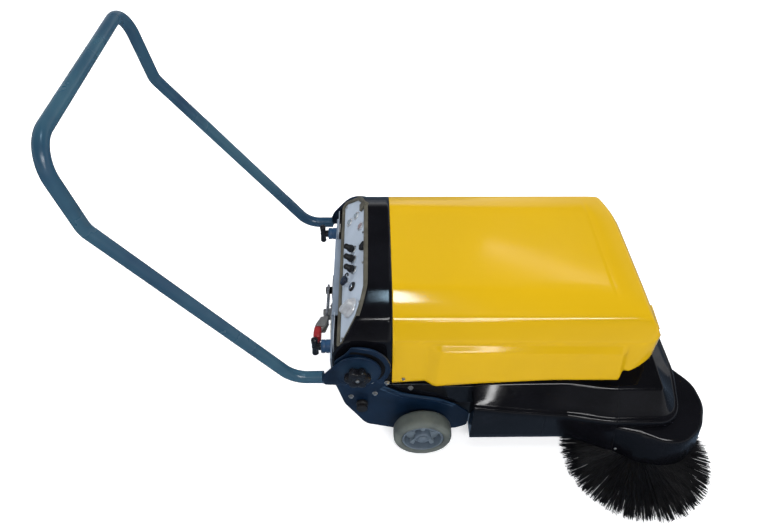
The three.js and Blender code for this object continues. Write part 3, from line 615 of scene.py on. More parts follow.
def base_tub():
    rows = [base_row(*spot) for spot in base_outline()]
    shell = loft(rows, wrap=False)
    deck_edge = [row[-1] for row in rows]
    (x0, x1), (y0, y1) = BELT_SLOT
    deck_points = deck_edge + [(x, y, DECK_Z) for x, y in ((x0, y0), (x1, y0), (x1, y1), (x0, y1))]
    n = len(deck_edge)

    def first(test):
        return next(i for i, (x, y, _) in enumerate(deck_edge) if test(x, y))

    left_end, left_mid = (first(lambda x, y: x < limit and y > 0) for limit in (x1, x0))
    right_end, right_mid = (first(lambda x, y: x >= limit) for limit in (x1, x0))
    faces = [tuple(range(right_end, left_end)) + (n + 2, n + 1),
        tuple(range(left_end - 1, left_mid)) + (n + 3, n + 2),
        tuple(range(left_mid - 1, n)) + tuple(range(right_mid + 1)) + (n, n + 3),
        tuple(range(right_mid, right_end + 1)) + (n + 1, n)]
    deck = (deck_points, faces)
    piece("base_shell", [shell, deck], "base", BLACK, ["base_tub"], wall=4.5, sharp=60)
    wing = [(-114, 150), (137, 150), (137, 224), (52, 224), (40, 236), (-114, 236)]
    parts = []
    for _, s in SIDES:
        parts.append(prism("y", rounded(wing, 5), s * WING_INNER, s * WING_OUTER))
        parts.append(box(133, 138, s * WING_INNER, s * (BASE_HALF - 1), SKIRT_Z, 186))
    piece("base_wings", parts, "base", BLACK, bevel=1.2)
    seams = []
    for x, last in ((LOBE_X - 1.6, 19), (330, 8)):
        rows = [base_row((x + k * 0.45, -right_half(x)), (0, -1), 0.25)[:last] for k in range(3)]
        seams.append(loft(rows, wrap=False))
    piece("base_seams", seams, "base", SEAM_AND_SHADE_BLACK, weighted=False)


LOBE_TOP_Z = 125
LOBE_TOP = ((LOBE_X + 0.8, -366), (600, -386), (645, -412), (700, -412), (758, -368), (788, -296),
    (782, -225), (735, -166), (700, -150), (LOBE_X + 0.8, -200))
LOBE_LOW = ((LOBE_X + 0.8, -386), (582, -424), (645, -436), (700, -430), (762, -380), (797, -300),
    (790, -225), (738, -160), (700, -150), (LOBE_X + 0.8, -200))


def lobe_outline(level):
    """Plan of the side brush cover: 0 at its lower edge, 1 at its top."""
    low, high = (rounded(corners, [2, 90, 90, 90, 90, 90, 90, 60, 8, 2], 8)
        for corners in (LOBE_LOW, LOBE_TOP))
    return [Vector(p).lerp(Vector(q), level) for p, q in zip(low, high)]


def side_brush_cover():
    levels = [(0, 0, 40), (0.2, 0, 57), (0.4, 0, 74), (0.6, 0, 91), (0.78, 0, 106), (0.88, 0, 115),
        (0.93, 1.4, 119.2), (0.965, 4.2, 122.6), (1, 8.8, 124.6), (1, 15, 125), (1, 30, 125.1),
        (1, 60, 125.1)]
    rows = []
    centre = Vector((650, -285))
    for level, inset, z in levels:
        row = []
        for x, y in lobe_outline(level):
            ray = Vector((x, y)) - centre
            p = centre + ray * max(0.02, 1 - inset / ray.length)
            row.append((max(p.x, LOBE_X + 0.8) if inset < 8 else p.x, p.y, z))
        rows.append(row)
    shell, faces = loft(rows)
    faces.append(tuple(range(len(shell) - len(rows[0]), len(shell))))
    piece("side_cover_shell", [(shell, faces)], "base", BLACK, ["side_brush_cover"], wall=4, sharp=60)
    screws = [button_screw("y", -1, (533, 0, 50), 389, 4.2)]
    piece("side_cover_screw", screws, "base", STEEL)


# ---- handle
ARM_Y = 305
TUBE_RADIUS = 16
ARM = ((-262, 278), (-341, 278), (-719, 793), (-756, 988))
ARM_BENDS = (100, 55, 75)
PIVOT_X, PIVOT_Z = PIVOT = (-174, 316)
PIVOT_CENTRE = (PIVOT_X, 0, PIVOT_Z)
DISC_RADIUS = 60
PLATE_INNER, PLATE_OUTER = 303, 308  # faces of a side plate, from the middle plane
POST_START = 278.5  # inner ends of the posts and axles
RING_RADIUS = 84


def handle():
    right = [(x, -ARM_Y, z) for x, z in ARM]
    left = [(x, ARM_Y, z) for x, z in reversed(ARM)]
    path = bent(right + left, ARM_BENDS + ARM_BENDS[::-1], 14)
    piece("handle_bar", [tube(path, TUBE_RADIUS, 36)], "handle", HANDLE_BLUE_WITH_PAINTED_SHEEN, ["handle_tube"], sharp=60,
        weighted=False)
    for side, s in SIDES:
        rows = []
        for t in stations([(0, 0.026), (0.13, 0.087), (1, 1)]):
            x = -266 + 62 * t
            spread = min(1.0, 1.2 * t) ** 0.8
            flat = ramp(t, 0, 0.13)
            half_z = TUBE_RADIUS + 36 * spread
            half_y = TUBE_RADIUS + (3.4 - TUBE_RADIUS) * flat
            middle_y = ARM_Y + (316.6 - ARM_Y) * flat
            middle_z = 278 + 32 * spread
            rows.append([(x, s * (middle_y + half_y * c * abs(c) ** -0.2), middle_z + half_z * d)
                for c, d in circle(32)])
        neck = loft(rows, caps=True)
        profile = [(6.3, 313), (DISC_RADIUS - 1.5, 313), (DISC_RADIUS, 314.5), (DISC_RADIUS, 317.8),
            (DISC_RADIUS - 0.8, 319.4), (DISC_RADIUS - 2.6, 320), (6.3, 320), (6.3, 313)]
        disc = lathe("y", profile, PIVOT_CENTRE, 72, s=s)
        spacer = rod("y", 30, PLATE_OUTER + 0.4, 313.5, PIVOT_CENTRE, 40, s)
        piece(f"handle_disc_{side}", [neck, disc, spacer], "handle", BLUE, [f"handle_plate_{side}"])
        star_knob(side, s)


def star_knob(side, s):
    """Six-lobed clamp knob with a domed face, ribs between the lobes and a capped screw."""
    rows = []
    for radius_part, y in ((0.0, 326), (0.8, 326), (0.97, 327.5), (1.0, 331), (1.0, 341), (0.97, 345),
            (0.88, 347.4), (0.6, 348.6), (0.42, 347.2), (0.4, 345.5), (0.0, 345.5)):
        row = []
        for k in range(96):
            angle = 2 * pi * k / 96
            lobe = 0.5 + 0.5 * cos(6 * angle)
            radius = radius_part * (25.5 + 8.5 * lobe ** 0.7 * min(1.0, radius_part * 1.2))
            row.append((PIVOT_X + radius * cos(angle), s * y, PIVOT_Z + radius * sin(angle)))
        rows.append(row)
    neck = rod("y", 16, 320.4, 327, PIVOT_CENTRE, 36, s)
    shank = rod("y", 6, PLATE_INNER, 321, PIVOT_CENTRE, 24, s)
    ribs = []
    for c, d in circle(6, pi / 6):
        turn = Matrix(((c, -d, 0, PIVOT_X), (0, 0, s, 0), (d, c, 0, PIVOT_Z), (0, 0, 0, 1)))
        ribs.append(moved(box(13, 23.5, -1.1, 1.1, 345.8, 348.4), turn))
    body = f"clamp_knob_{side}"
    piece(f"star_knob_{side}", [loft(rows), neck, shank] + ribs, body, DARK, [body], sharp=42)
    cap = lathe("y", [(0, 345.6), (5.2, 345.6), (5.2, 348), (4, 349), (0, 349.4)], PIVOT_CENTRE, 24, s=s)
    piece(f"knob_screw_{side}", [cap], body, STEEL)


# ---- side plates with their bolts
def bolt(axis, s, centre, face, across=6.5, height=4.5, washer=8.5):
    """A hexagon bolt head on a washer, standing out of a face at a distance along the axis."""
    low, base = face + 0.3, face + 1.8
    ring = [(0, low), (washer, low), (washer, low + 1.2), (washer - 0.5, base), (0, base)]
    head = [(0, base), (across, base), (across, base + height - 1), (across * 0.86, base + height),
        (0, base + height)]
    return [lathe(axis, ring, centre, 28, s=s), lathe(axis, head, centre, 6, 0.3, s)]


def button_screw(axis, s, centre, face, radius=5.0):
    """A domed socket screw with its socket."""
    profile = [(0, face), (radius, face), (radius, face + 0.9), (radius * 0.85, face + 2.0),
        (radius * 0.5, face + 2.7), (radius * 0.42, face + 2.7), (radius * 0.38, face + 1.2),
        (0, face + 1.2)]
    return lathe(axis, profile, centre, 24, s=s)


def side_plates():
    for side, s in SIDES:
        outline = [(-235, 253), (-212, 159), (-156, 59), (-79, 34), (20, 27), (100, 30), (131, 47),
            (131, 110), (90, 150), (40, 178), (-5, 189), (-60, 205), (-104, 238)]
        radii = [14, 30, 34, 30, 60, 24, 16, 20, 40, 60, 60, 60, 30]
        if s < 0:
            outline += arc(PIVOT, RING_RADIUS, -34, 100, 40) + [(-206, 372), (-233, 345)]
            radii += [0] * 40 + [30, 20, 24]
        else:
            outline += arc(PIVOT, 64, -34, 228, 60)
            radii += [0] * 61
        plate = prism("y", rounded(outline, radii), s * PLATE_INNER, s * PLATE_OUTER)
        rim = []
        for k in range(49):
            angle = radians(-52 + 156 * k / 48)
            fade = min(1.0, 6 * min(k, 48 - k) / 48)
            row = []
            for radius, rise in ((70.2, 0), (70.6, 3.4), (72, 4.2), (81.5, 4.2), (83.4, 3.4),
                    (RING_RADIUS, 1.6), (RING_RADIUS, 0)):
                row.append((PIVOT_X + radius * cos(angle), s * (307.6 + rise * fade),
                    PIVOT_Z + radius * sin(angle)))
            rim.append(row)
        raised = [loft(rim)] if s < 0 else []
        lip_top = [(-108, 240), (-60, 206.5), (-5, 190.5), (40, 179.5), (90, 151.5)]
        lip_low = [(-118, 226), (-68, 190), (-8, 175), (36, 165), (83, 140)]
        top = bent([(x, 0, z) for x, z in lip_top], (60, 90, 90), 6)
        low = bent([(x, 0, z) for x, z in lip_low], (60, 90, 90), 6)
        rows = []
        for k, (a, b) in enumerate(zip(top, low)):
            fade = min(1.0, 5 * k / len(top) + 0.2, 5 * (len(top) - 1 - k) / len(top) + 0.2)
            row = []
            for t, rise in ((0, -0.8), (0, 3.6), (0.1, 5.4), (0.35, 6), (0.75, 2.6), (1, 0.2), (1, -0.8)):
                row.append((a[0] + (b[0] - a[0]) * t, s * (PLATE_OUTER + rise * fade),
                    a[2] + (b[2] - a[2]) * t))
            rows.append(row)
        lip = loft(rows, caps=True)
        posts = [rod("y", 9, POST_START, PLATE_INNER + 0.5, (x, 0, z), 24, s)
            for x, z in ((-194, 195), (-130, 208), (-90, 90), (100, 75))]
        piece(f"carrier_plate_{side}", [plate], "base", BLUE, [f"side_plate_{side}"], bevel=1.2)
        piece(f"carrier_lip_{side}", raised + [lip] + posts, "base", BLUE)
        # Painted shade: a thin black crescent on the plate, off-centre to the disc, paints the shadow in the
        # gap between the handle disc and the raised ring.
        if s < 0:
            outer = arc(PIVOT, 70.4, -44, 104, 40)
            inner = arc((PIVOT_X - 10, PIVOT_Z + 1), 60, 100, -46, 40)
            shade_crescent = prism("y", outer + inner, s * 307.5, s * 308.5)
            piece(f"carrier_gap_painted_shade_{side}", [shade_crescent], "base", SEAM_AND_SHADE_BLACK)
        heads = []
        for x, z, face in ((-194, 195, PLATE_OUTER), (-130, 208, PLATE_OUTER),
                (-138.5, 263, PLATE_OUTER), (-98.5, 256, PLATE_OUTER), (-35, 222, WING_OUTER)):
            heads += bolt("y", s, (x, 0, z), face, 5.2, 4.2, 7.4)
        piece(f"carrier_bolts_{side}", heads, "base", STEEL)
        stop = lathe("y", [(0, 308.4), (14, 308.4), (16, 311), (16, 317), (12.5, 320), (12.5, 323),
            (15.4, 326), (14.6, 331), (0, 332)], (-165, 0, 166), 36, s=s)
        piece(f"bump_stop_{side}", [stop], "base", SOFT_BLACK, [f"rubber_stop_{side}"], bevel=0.6)


# ---- main wheels
AXLE_Z = 80
WHEEL_Y = 351.5  # middle of a tyre, from the middle plane


def main_wheels():
    for side, s in SIDES:
        centre = (0, 0, AXLE_Z)
        half = [(57, 332), (59, 328.6), (64, 327.4), (70.5, 327.6), (74.8, 329.4), (77.6, 333),
            (79.4, 338), (79.9, 345), (80, 351.5)]
        profile = half + [(r, 2 * WHEEL_Y - y) for r, y in reversed(half)] + half[:1]
        body = f"wheel_{side}"
        piece(f"tyre_rubber_{side}", [lathe("y", profile, centre, 120, s=s)], body, TYRE,
            [f"tyre_{side}"], sharp=60)
        rim = [(57, 331), (57, 371.6), (55.4, 373.4), (52.4, 373.4), (50.4, 371.6), (49.2, 363), (48, 356)]
        rim += [(48, 348), (50.6, 334), (53.5, 331), (57, 331)]
        boss = [(10.4, 330), (22, 330), (22.5, 348), (24, 360), (22.5, 369), (20.5, 371), (17, 371.8),
            (15.6, 371), (10.4, 371), (10.4, 330)]
        web = [(22, 350), (49, 346.5), (49, 349.5), (22, 353), (22, 350)]
        parts = [lathe("y", profile, centre, 96, s=s) for profile in (rim, boss, web)]
        for c, d in circle(5, pi / 10):
            spoke = [(20, s * 361, -7), (36, s * 358.5, -5.4), (50.5, s * 362, -9)]
            rows = []
            for r, y, w in spoke:
                rows.append([(r, y - s * 9, w), (r, y, w * 0.8), (r, y + s * 1.2, 0), (r, y, -w * 0.8),
                    (r, y - s * 9, -w)])
            turn = Matrix(((c, 0, -d, 0), (0, 1, 0, 0), (d, 0, c, AXLE_Z), (0, 0, 0, 1)))
            parts.append(moved(loft(rows, caps=True), turn))
        piece(f"wheel_hub_{side}", parts, body, HUB, [f"hub_{side}"], sharp=42)
        cap = [(0, 371.6), (13.8, 371.6), (13.8, 374.4), (12, 376.8), (7, 377.8), (0, 378)]
        cap = lathe("y", cap, centre, s=s)
        shaft = rod("y", 10, POST_START, 372, centre, s=s)
        piece(f"axle_cap_{side}", [cap, shaft], "base", HUB, [f"axle_{side}"])


# ---- bristles
BRUSH_AXIS = (600, -375)
BROOM_AXIS = (250, 106)


def strand(root, tip, droop, radius, count=6):
    """One bristle from root to tip as a three-sided tapering bar, bent by a droop vector at its middle."""
    root, tip = Vector(root), Vector(tip)
    path = []
    for k in range(count + 1):
        t = k / count
        path.append(root.lerp(tip, t) + Vector(droop) * (4 * t * (1 - t)))
    heading = (tip - root).normalized()
    side = heading.orthogonal().normalized()
    other = heading.cross(side)
    rows = []
    for k, point in enumerate(path):
        size = radius * (1 - 0.35 * k / count)
        rows.append([tuple(point + side * size * cos(a) + other * size * sin(a))
            for a in (0, 2.094, 4.189)])
    return loft(rows, caps=True)


def side_brush():
    cx, cy = BRUSH_AXIS
    disc = lathe("z", [(8, 44), (34, 44), (36, 46), (36, 54), (33, 57), (8, 57), (8, 44)], (cx, cy, 0), 56)
    piece("brush_disc", [disc], "side_brush", DARK, ["side_brush_disc"])
    shapes = []
    tufts = 54
    for k in range(tufts):
        trim = random.expovariate(1 / 3.0)
        for ring_radius, reach, drop in ((34, 203, 3.0), (31, 196, 6.0), (28, 182, 2.0), (25, 160, 2.0)):
            lean = random.uniform(-0.05, 0.05)
            for _ in range(19):
                start = 2 * pi * (k + random.random()) / tufts
                end = start + lean + random.gauss(0, 0.045)
                r0 = ring_radius + random.uniform(-2, 2)
                r1 = min(207.0, reach - trim + random.gauss(0, 5))
                z1 = max(1.6, drop + random.expovariate(1 / 4.0))
                root = (cx + r0 * cos(start), cy + r0 * sin(start), 41.5 - random.uniform(0, 4))
                tip = (cx + r1 * cos(end), cy + r1 * sin(end), z1)
                shapes.append(strand(root, tip, (0, 0, random.uniform(1, 7)), 1.25, 5))
    piece("brush_bristles", shapes, "side_brush", BRISTLE, ["side_brush_bristles"], sharp=180,
        weighted=False)


def main_broom():
    cx, cz = BROOM_AXIS
    shapes = []
    rows_count = 8
    for row in range(rows_count):
        for j in range(62):
            y = -244 + 8 * j
            swirl = abs(y) / 250 * 1.1
            base = 2 * pi * row / rows_count + swirl
            for _ in range(5):
                angle = base + random.gauss(0, 0.035)
                tip_angle = angle + random.gauss(0, 0.03)
                yy = y + random.uniform(-3, 3)
                r1 = 104.5 - random.expovariate(1 / 1.5)
                root = (cx + 39 * cos(angle), yy, cz + 39 * sin(angle))
                tip = (cx + r1 * cos(tip_angle), yy + random.gauss(0, 2), cz + r1 * sin(tip_angle))
                shapes.append(strand(root, tip, (0, 0, 0), 0.9, 2))
    piece("broom_tufts", shapes, "main_broom", BRISTLE, ["broom_bristles"], sharp=180, weighted=False)


# ---- control panel
PANEL_LOW = (-220, 365)
PANEL_HIGH = (-152, 465)
PANEL_OUTLINE = ((270, 3), (270, 20), (229, 78), (194, 100), (155, 114))
LAMPS = ((-166, 70), (-170, 34), (-98, 92))
SWITCHES = ((-26, 62), (15, 64), (57, 66))
BUTTON = (66, 24)
KEY = (110, 56)
MAIN_KNOB = (181, 50)
SLOPE = (Vector((PANEL_HIGH[0], 0, PANEL_HIGH[1])) - Vector((PANEL_LOW[0], 0, PANEL_LOW[1]))).normalized()
ACROSS = Vector((0, -1, 0))


def on_panel(shapes, u=0.0, v=0.0, turn=0.0):
    """Shapes drawn with X across, Y up the slope and Z out of the panel, put at a place on it."""
    out = ACROSS.cross(SLOPE)
    base = Vector((PANEL_LOW[0], 0, PANEL_LOW[1])) + ACROSS * u + SLOPE * v
    matrix = Matrix.Translation(base) @ Matrix((ACROSS, SLOPE, out)).transposed().to_4x4()
    matrix = matrix @ Matrix.Rotation(radians(turn), 4, "Z")
    return [moved(shape, matrix) for shape in shapes]


def turned(profile, segments=32):
    return lathe("z", profile, (0, 0, 0), segments)


def control_panel():
    half = list(PANEL_OUTLINE)
    outline = half + [(-u, v) for u, v in reversed(half)]
    plate = [prism("z", rounded(outline, 7), -4, 0)]
    for u, v in SWITCHES:
        pad = turned([(0, -1), (12, -1), (12, 2.2), (11, 3), (0, 3)])
        plate.append(moved(pad, Matrix.Translation((u, v, 0))))
    ring_profile = [(8.3, -4), (8.3, 2), (13, 2.4), (15, 1.4), (15, -1), (8.3, -4)]
    plate.append(moved(turned(ring_profile), Matrix.Translation((*BUTTON, 0))))
    piece("panel_plate", on_panel(plate), "base", PANEL, ["control_panel"], bevel=0.8)
    inner = rounded(outline, 7)
    outer = rounded([(278, -4), (278, 22), (234, 85), (197, 108), (157, 122), (-157, 122), (-197, 108),
        (-234, 85), (-278, 22), (-278, -4)], 10)
    rows = []
    for inset, height in ((0.5, -3), (0.5, 3.5), (0.35, 5.6), (0.05, 6.2), (-0.05, 4.5), (-0.05, -3)):
        row = []
        for p, q in zip(inner, outer):
            t = 1 - inset * 2 if inset > 0.1 else 1 + inset * 0.4
            row.append((p[0] + (q[0] - p[0]) * t, p[1] + (q[1] - p[1]) * t, height))
        rows.append(row)
    piece("panel_trim", on_panel([loft(rows, close=True)]), "base", TRIM, bevel=0.3)
    lip = [box(-262, 262, -7.5, 2.2, 0.2, 1.6), box(-262, 262, -7.5, -6, -14, 1.6)]
    piece("panel_lower_lip", on_panel(lip), "base", TRIM, bevel=0.4)
    piece("panel_bracket", on_panel([box(-186, -158, 96, 118, 1, 8), box(-176, -158, 112, 126, -6, 7)]),
        "base", TRIM, bevel=1.2)
    apron = [box(-237.6, -236, low, low + 108, 323, 361) for low in (-262, 154)]
    piece("panel_apron", apron, "base", PANEL, bevel=0.4)
    clip = [box(-13, 13, 103, 116, 0.3, 8), box(-9, 9, 98, 106, 2, 9.5)]
    piece("panel_clip_black", on_panel(clip), "base", SOFT_BLACK, ["panel_clip"], bevel=1.5)
    screws = []
    for u, v in ((-258, 14), (258, 14), (-190, 92), (190, 92), (-60, 106), (60, 106)):
        screws += on_panel([button_screw("z", 1, (0, 0, 0), 0.1, 3.6)], u, v)
    piece("panel_screws", screws, "base", STEEL)


def controls():
    bezel = [(9.6, 0.2), (13, 0.2), (13, 2.4), (12, 3.6), (10.2, 3.6), (9.6, 2.8), (9.6, 0.2)]
    dome = [(0, 0.4), (9, 0.4), (9, 3.2), (7.6, 5.4), (4.5, 7.2), (0, 8)]
    for i, (u, v) in enumerate(LAMPS):
        lens = LENS_RED if i == 2 else LENS
        piece(f"lamp_lens_{i + 1}", on_panel([turned(dome)], u, v), "base", lens,
            [f"indicator_lamp_{i + 1}"])
        piece(f"lamp_bezel_{i + 1}", on_panel([turned(bezel)], u, v), "base", KNOB_SILVER)
    boot = [(0, 3.5), (4.6, 4.3), (8.6, 6.2), (10.4, 8.6), (11.4, 11.6), (10, 13.6), (10.8, 15.6),
        (9, 17.4), (9.6, 19.4), (7.8, 21.4), (8.2, 27), (7.2, 31.4), (4.4, 33.6), (0, 34)]
    nut = [(10.6, 2.9), (13.6, 2.9), (13.6, 4.6), (12.8, 5.4), (11.6, 5.4), (10.6, 4.6), (10.6, 2.9)]
    for i, (u, v) in enumerate(SWITCHES):
        body = f"toggle_switch_{i + 1}"
        piece(f"toggle_boot_{i + 1}", on_panel([turned(boot)], u, v), body, SOFT_BLACK, [body])
        piece(f"toggle_nut_{i + 1}", on_panel([turned(nut, 6)], u, v), "base", STEEL)
    cap = [(0, -8), (8, -8), (8, 5.8), (13.4, 5.8), (14, 6.6), (14, 11), (12.6, 13), (7, 14), (0, 14.2)]
    piece("start_button", on_panel([turned(cap, 40)], *BUTTON), "push_button", BUTTON_BLUE,
        ["push_button"])
    barrel = [(0, 0.4), (8.4, 0.4), (8.4, 6.6), (7.6, 7.4), (0, 7.4)]
    blade = prism("y", rounded([(-7.5, 8), (7.5, 8), (9, 14), (7, 22), (-7, 22), (-9, 14)], 3), -1.1, 1.1)
    stem = box(-3.2, 3.2, -1.0, 1.0, 6.5, 9)
    piece("key", on_panel([turned(barrel, 36), moved(blade, Matrix.Rotation(pi / 2, 4, "Z")),
        moved(stem, Matrix.Rotation(pi / 2, 4, "Z"))], *KEY), "key_switch", CHROME, ["key_switch"],
        bevel=0.3)
    ring_black = [(9, 0.3), (13.4, 0.3), (13.4, 2.6), (12.2, 4.6), (9.4, 5), (9, 4.4), (9, 0.3)]
    piece("key_bezel", on_panel([turned(ring_black, 40)], *KEY), "base", SOFT_BLACK)
    wire = bent([(-15, -9, 1.5), (-27, -7, 2.2), (-29, 3, 2.2), (-24, 10, 2.2), (-14, 9, 1.5)],
        (6, 6, 6), 6)
    loop = tube(wire, 1.6, 12)
    piece("button_guard", on_panel([loop], *BUTTON), "base", SOFT_BLACK)
    skirt = [(0, 0.4), (28, 0.4), (28, 2.4), (26.6, 5.6), (25.2, 7), (0, 7.2)]
    rows = []
    for t in stations([(0, 0.125), (1, 1)]):
        reach = 25 - 2.6 * t * t
        half_width = 11 - 2.4 * t
        waist = 8.6 - 1.5 * t
        height = 6.6 + 15.2 * t
        edge = [(half_width * 0.55, reach), (half_width, reach * 0.72), (waist, 0),
            (half_width, -reach * 0.72), (half_width * 0.55, -reach)]
        ring_row = edge + [(-x, y) for x, y in reversed(edge)]
        rows.append([(x, y, height) for x, y in ring_row])
    grip = loft(rows, caps=True)
    piece("speed_knob", on_panel([turned(skirt, 48), grip], *MAIN_KNOB), "main_knob", KNOB_SILVER,
        ["main_knob"], bevel=0.7)


# ---- hopper face, latch and plungers
FACE_X = -246
FACE_TOP = 345
PLUNGER_Y = 223
PLUNGER_Z = 302


def hopper_face():
    """Folded sheet face with a top flange, a window for the latch keeper and holes for the plungers."""
    holes = [arc((s * PLUNGER_Y, PLUNGER_Z), 5.4, 0, 360, 24)[:-1] for _, s in SIDES]
    window = [(-40, 297), (-16, 297), (-16, 323), (-40, 323)]
    curve = bpy.data.curves.new("face_outline", "CURVE")
    curve.dimensions = "2D"
    curve.fill_mode = "BOTH"
    curve.extrude = 2.5 * MM
    top = FACE_TOP - 3
    outer = rounded([(-276, 222), (276, 222), (276, 320), (185, 322), (150, top), (-150, top),
        (-185, 322), (-276, 320)], [14, 14, 8, 10, 10, 10, 10, 8])
    for loop in (outer, window, *holes):
        spline = curve.splines.new("POLY")
        spline.points.add(len(loop) - 1)
        for point, (y, z) in zip(spline.points, loop):
            point.co = (y * MM, z * MM, 0, 1)
        spline.use_cyclic_u = True
    holder = bpy.data.objects.new("face_outline", curve)
    bpy.context.scene.collection.objects.link(holder)
    bpy.context.view_layer.update()
    flat = holder.to_mesh()
    turn = Matrix(((0, 0, 1), (1, 0, 0), (0, 1, 0)))
    points = [tuple(turn @ (v.co / MM) + Vector((FACE_X + 2.5, 0, 0))) for v in flat.vertices]
    faces = [tuple(p.vertices) for p in flat.polygons]
    bpy.data.objects.remove(holder)
    fold = prism("y", rounded([(FACE_X, FACE_TOP - 6), (-224, FACE_TOP - 4), (-224, FACE_TOP),
        (FACE_X, FACE_TOP)], [0, 1, 1, 2.5]), -150, 150)
    rib = prism("y", rounded([(-250, 246), (-245.5, 240), (-245.5, 264), (-250, 258)], 3), -240, 240)
    piece("hopper_front", [(points, faces), fold, rib], "hopper", FACE, ["hopper_face"], bevel=0.8)


def plungers():
    for side, s in SIDES:
        centre = (0, s * PLUNGER_Y, PLUNGER_Z)
        bush = [(5.4, -246.4), (17.4, -246.4), (18, -248), (18, -258), (16.6, -259.4), (16.6, -261),
            (18, -262.4), (18, -270.4), (16.4, -272), (5.4, -272), (5.4, -246.4)]
        piece(f"plunger_sleeve_{side}", [lathe("x", bush, centre, 40)], "hopper", BLUE_BRIGHT,
            [f"plunger_bush_{side}"])
        body = f"plunger_{side}"
        stem = [(0, -228), (4, -228), (5, -230), (5, -272.4), (10.6, -272.4), (11, -274), (10.4, -280),
            (9, -284), (8, -289), (0, -289)]
        half_grip = [(0, 32), (6.4, 31.2), (9, 28), (8.6, 19), (7.8, 8), (8.6, 0)]
        grip = [(r, PLUNGER_Z - h) for r, h in half_grip] + [(r, PLUNGER_Z + h)
            for r, h in half_grip[-2::-1]]
        bar = lathe("z", grip, (-289, s * PLUNGER_Y, 0), 28)
        piece(f"plunger_handle_{side}", [lathe("x", stem, centre, 32), bar], body, DARK, [body])


LATCH_PIN = (-264, -118, 0)
HOOK_PIN = (-260, -134, 0)
LATCH_Z = 310
CHEEK_START, LEVER_END = -139.5, -171.7
GRIP_X = -283.4


def latch():
    plate = [box(-249.3, -246.3, -150, -95, 290, 330)]
    for z in (299.3, 317.7):
        ear = rounded([(-271, -128), (-244, -132), (-244, -104), (-271, -108)], 4)
        plate.append(prism("z", ear, z, z + 3))
    plate.append(rod("z", 3, 297, 323, LATCH_PIN, 20))
    for y, z in ((-143, 296), (-143, 324), (-100, 296), (-100, 324)):
        plate.append(button_screw("x", -1, (0, y, z), 249.4, 3.4))
    piece("latch_plate", plate, "hopper", STEEL, ["latch_base"], bevel=0.5)
    lever = prism("z", rounded([(-270, -109), (-256, -109), (-256, -140), (-272, LEVER_END),
        (-287, LEVER_END), (-270, -140)], 3), 303, 317)
    cheek = rounded([(-270, CHEEK_START), (-254, CHEEK_START), (-264, LEVER_END), (-291, LEVER_END),
        (-276, CHEEK_START)], 3)
    cheeks = [prism("z", cheek, 294, 297), prism("z", cheek, 323, 326),
        prism("z", rounded([(-273, CHEEK_START), (-269, CHEEK_START), (-287, LEVER_END),
        (-291, LEVER_END)], 1), 296, 324)]
    rivet = [rod("z", 4, 302.2, 317.8, LATCH_PIN, 20), rod("z", 4, 302.2, 317.8, HOOK_PIN, 20)]
    piece("latch_arm", [lever] + cheeks + rivet, "latch_lever", STEEL, ["latch_lever"], bevel=0.8)
    rows = []
    for y, half_x, half_z, x in ((-171.8, 8, 12, -282.5), (-174, 9.6, 15, -283),
            (-186, 10.4, 16, GRIP_X), (-201, 10.4, 16, GRIP_X), (-206.5, 8.5, 13, GRIP_X),
            (-208, 5, 9, GRIP_X)):
        row = []
        for c, d in circle(24):
            swell = (abs(c) ** 4 + abs(d) ** 4) ** -0.25
            row.append((x + half_x * c * swell, y, LATCH_Z + half_z * d * swell))
        rows.append(row)
    piece("latch_handle", [loft(rows, caps=True)], "latch_lever", RED, ["latch_grip"])
    path = bent([(-260, -134, 296), (-260, -134, 295), (-260, -18, 295), (-260, -18, 325),
        (-260, -134, 325), (-260, -134, 324)], (0.1, 6, 6, 0.1), 8)
    pins = [rod("z", 3, 294, 326, HOOK_PIN, 20), rod("z", 3.6, 291.5, 296.5, HOOK_PIN, 20),
        rod("z", 3.6, 323.5, 328.5, HOOK_PIN, 20)]
    piece("latch_wire", [tube(path, 3, 14)] + pins, "latch_hook", CHROME, ["latch_hook"])
    cream = [prism("x", rounded([(-200, 252), (-152, 252), (-152, 334), (-168, 334), (-190, 318),
        (-204, 300)], 5), -248.6, -246.3)]
    piece("latch_backing", cream, "hopper", CREAM, bevel=0.5)
    stripe = prism("x", rounded([(-194, 272), (-180, 272), (-176, 318), (-184, 318)], 3), -249.2, -248.4)
    piece("latch_backing_stripe", [stripe], "hopper", RED)
    frame_bars = [box(-249, -246.4, -66, -44, 288, 332), box(-249, -246.4, -12, 10, 288, 332),
        box(-249, -246.4, -44, -12, 325, 332), box(-249, -246.4, -44, -12, 288, 295)]
    piece("latch_window", frame_bars, "hopper", STEEL, bevel=0.4)
    keeper = [prism("y", rounded([(-268, 301), (-232, 301), (-232, 319), (-268, 319)], 3), -34, -22)]
    piece("latch_keeper", keeper, "base", STEEL, bevel=0.6)


# ---- inside the machine
PLAIN_NODES = {"chassis_frame": FRAME_BLACK, "hopper_bin": BIN_BLACK, "broom_core": DARK,
    "broom_pulley": STEEL, "drive_belt": SOFT_BLACK, "motor_pulley": STEEL, "broom_motor": FRAME_BLACK,
    "side_brush_drive": DARK, "caster_plate": STEEL, "caster_fork": STEEL, "caster_wheel": TYRE,
    "battery": DARK, "filter_element": PAPER, "fan_housing": BIN_BLACK, "fan_motor": STEEL,
    "impeller": DARK, "dust_flap": SOFT_BLACK, "hood_hinge_bar": STEEL}


BATTERY_TOP = 396
FAN_AXIS_X = -30
MOTOR_AXIS = (250, 0, 300)


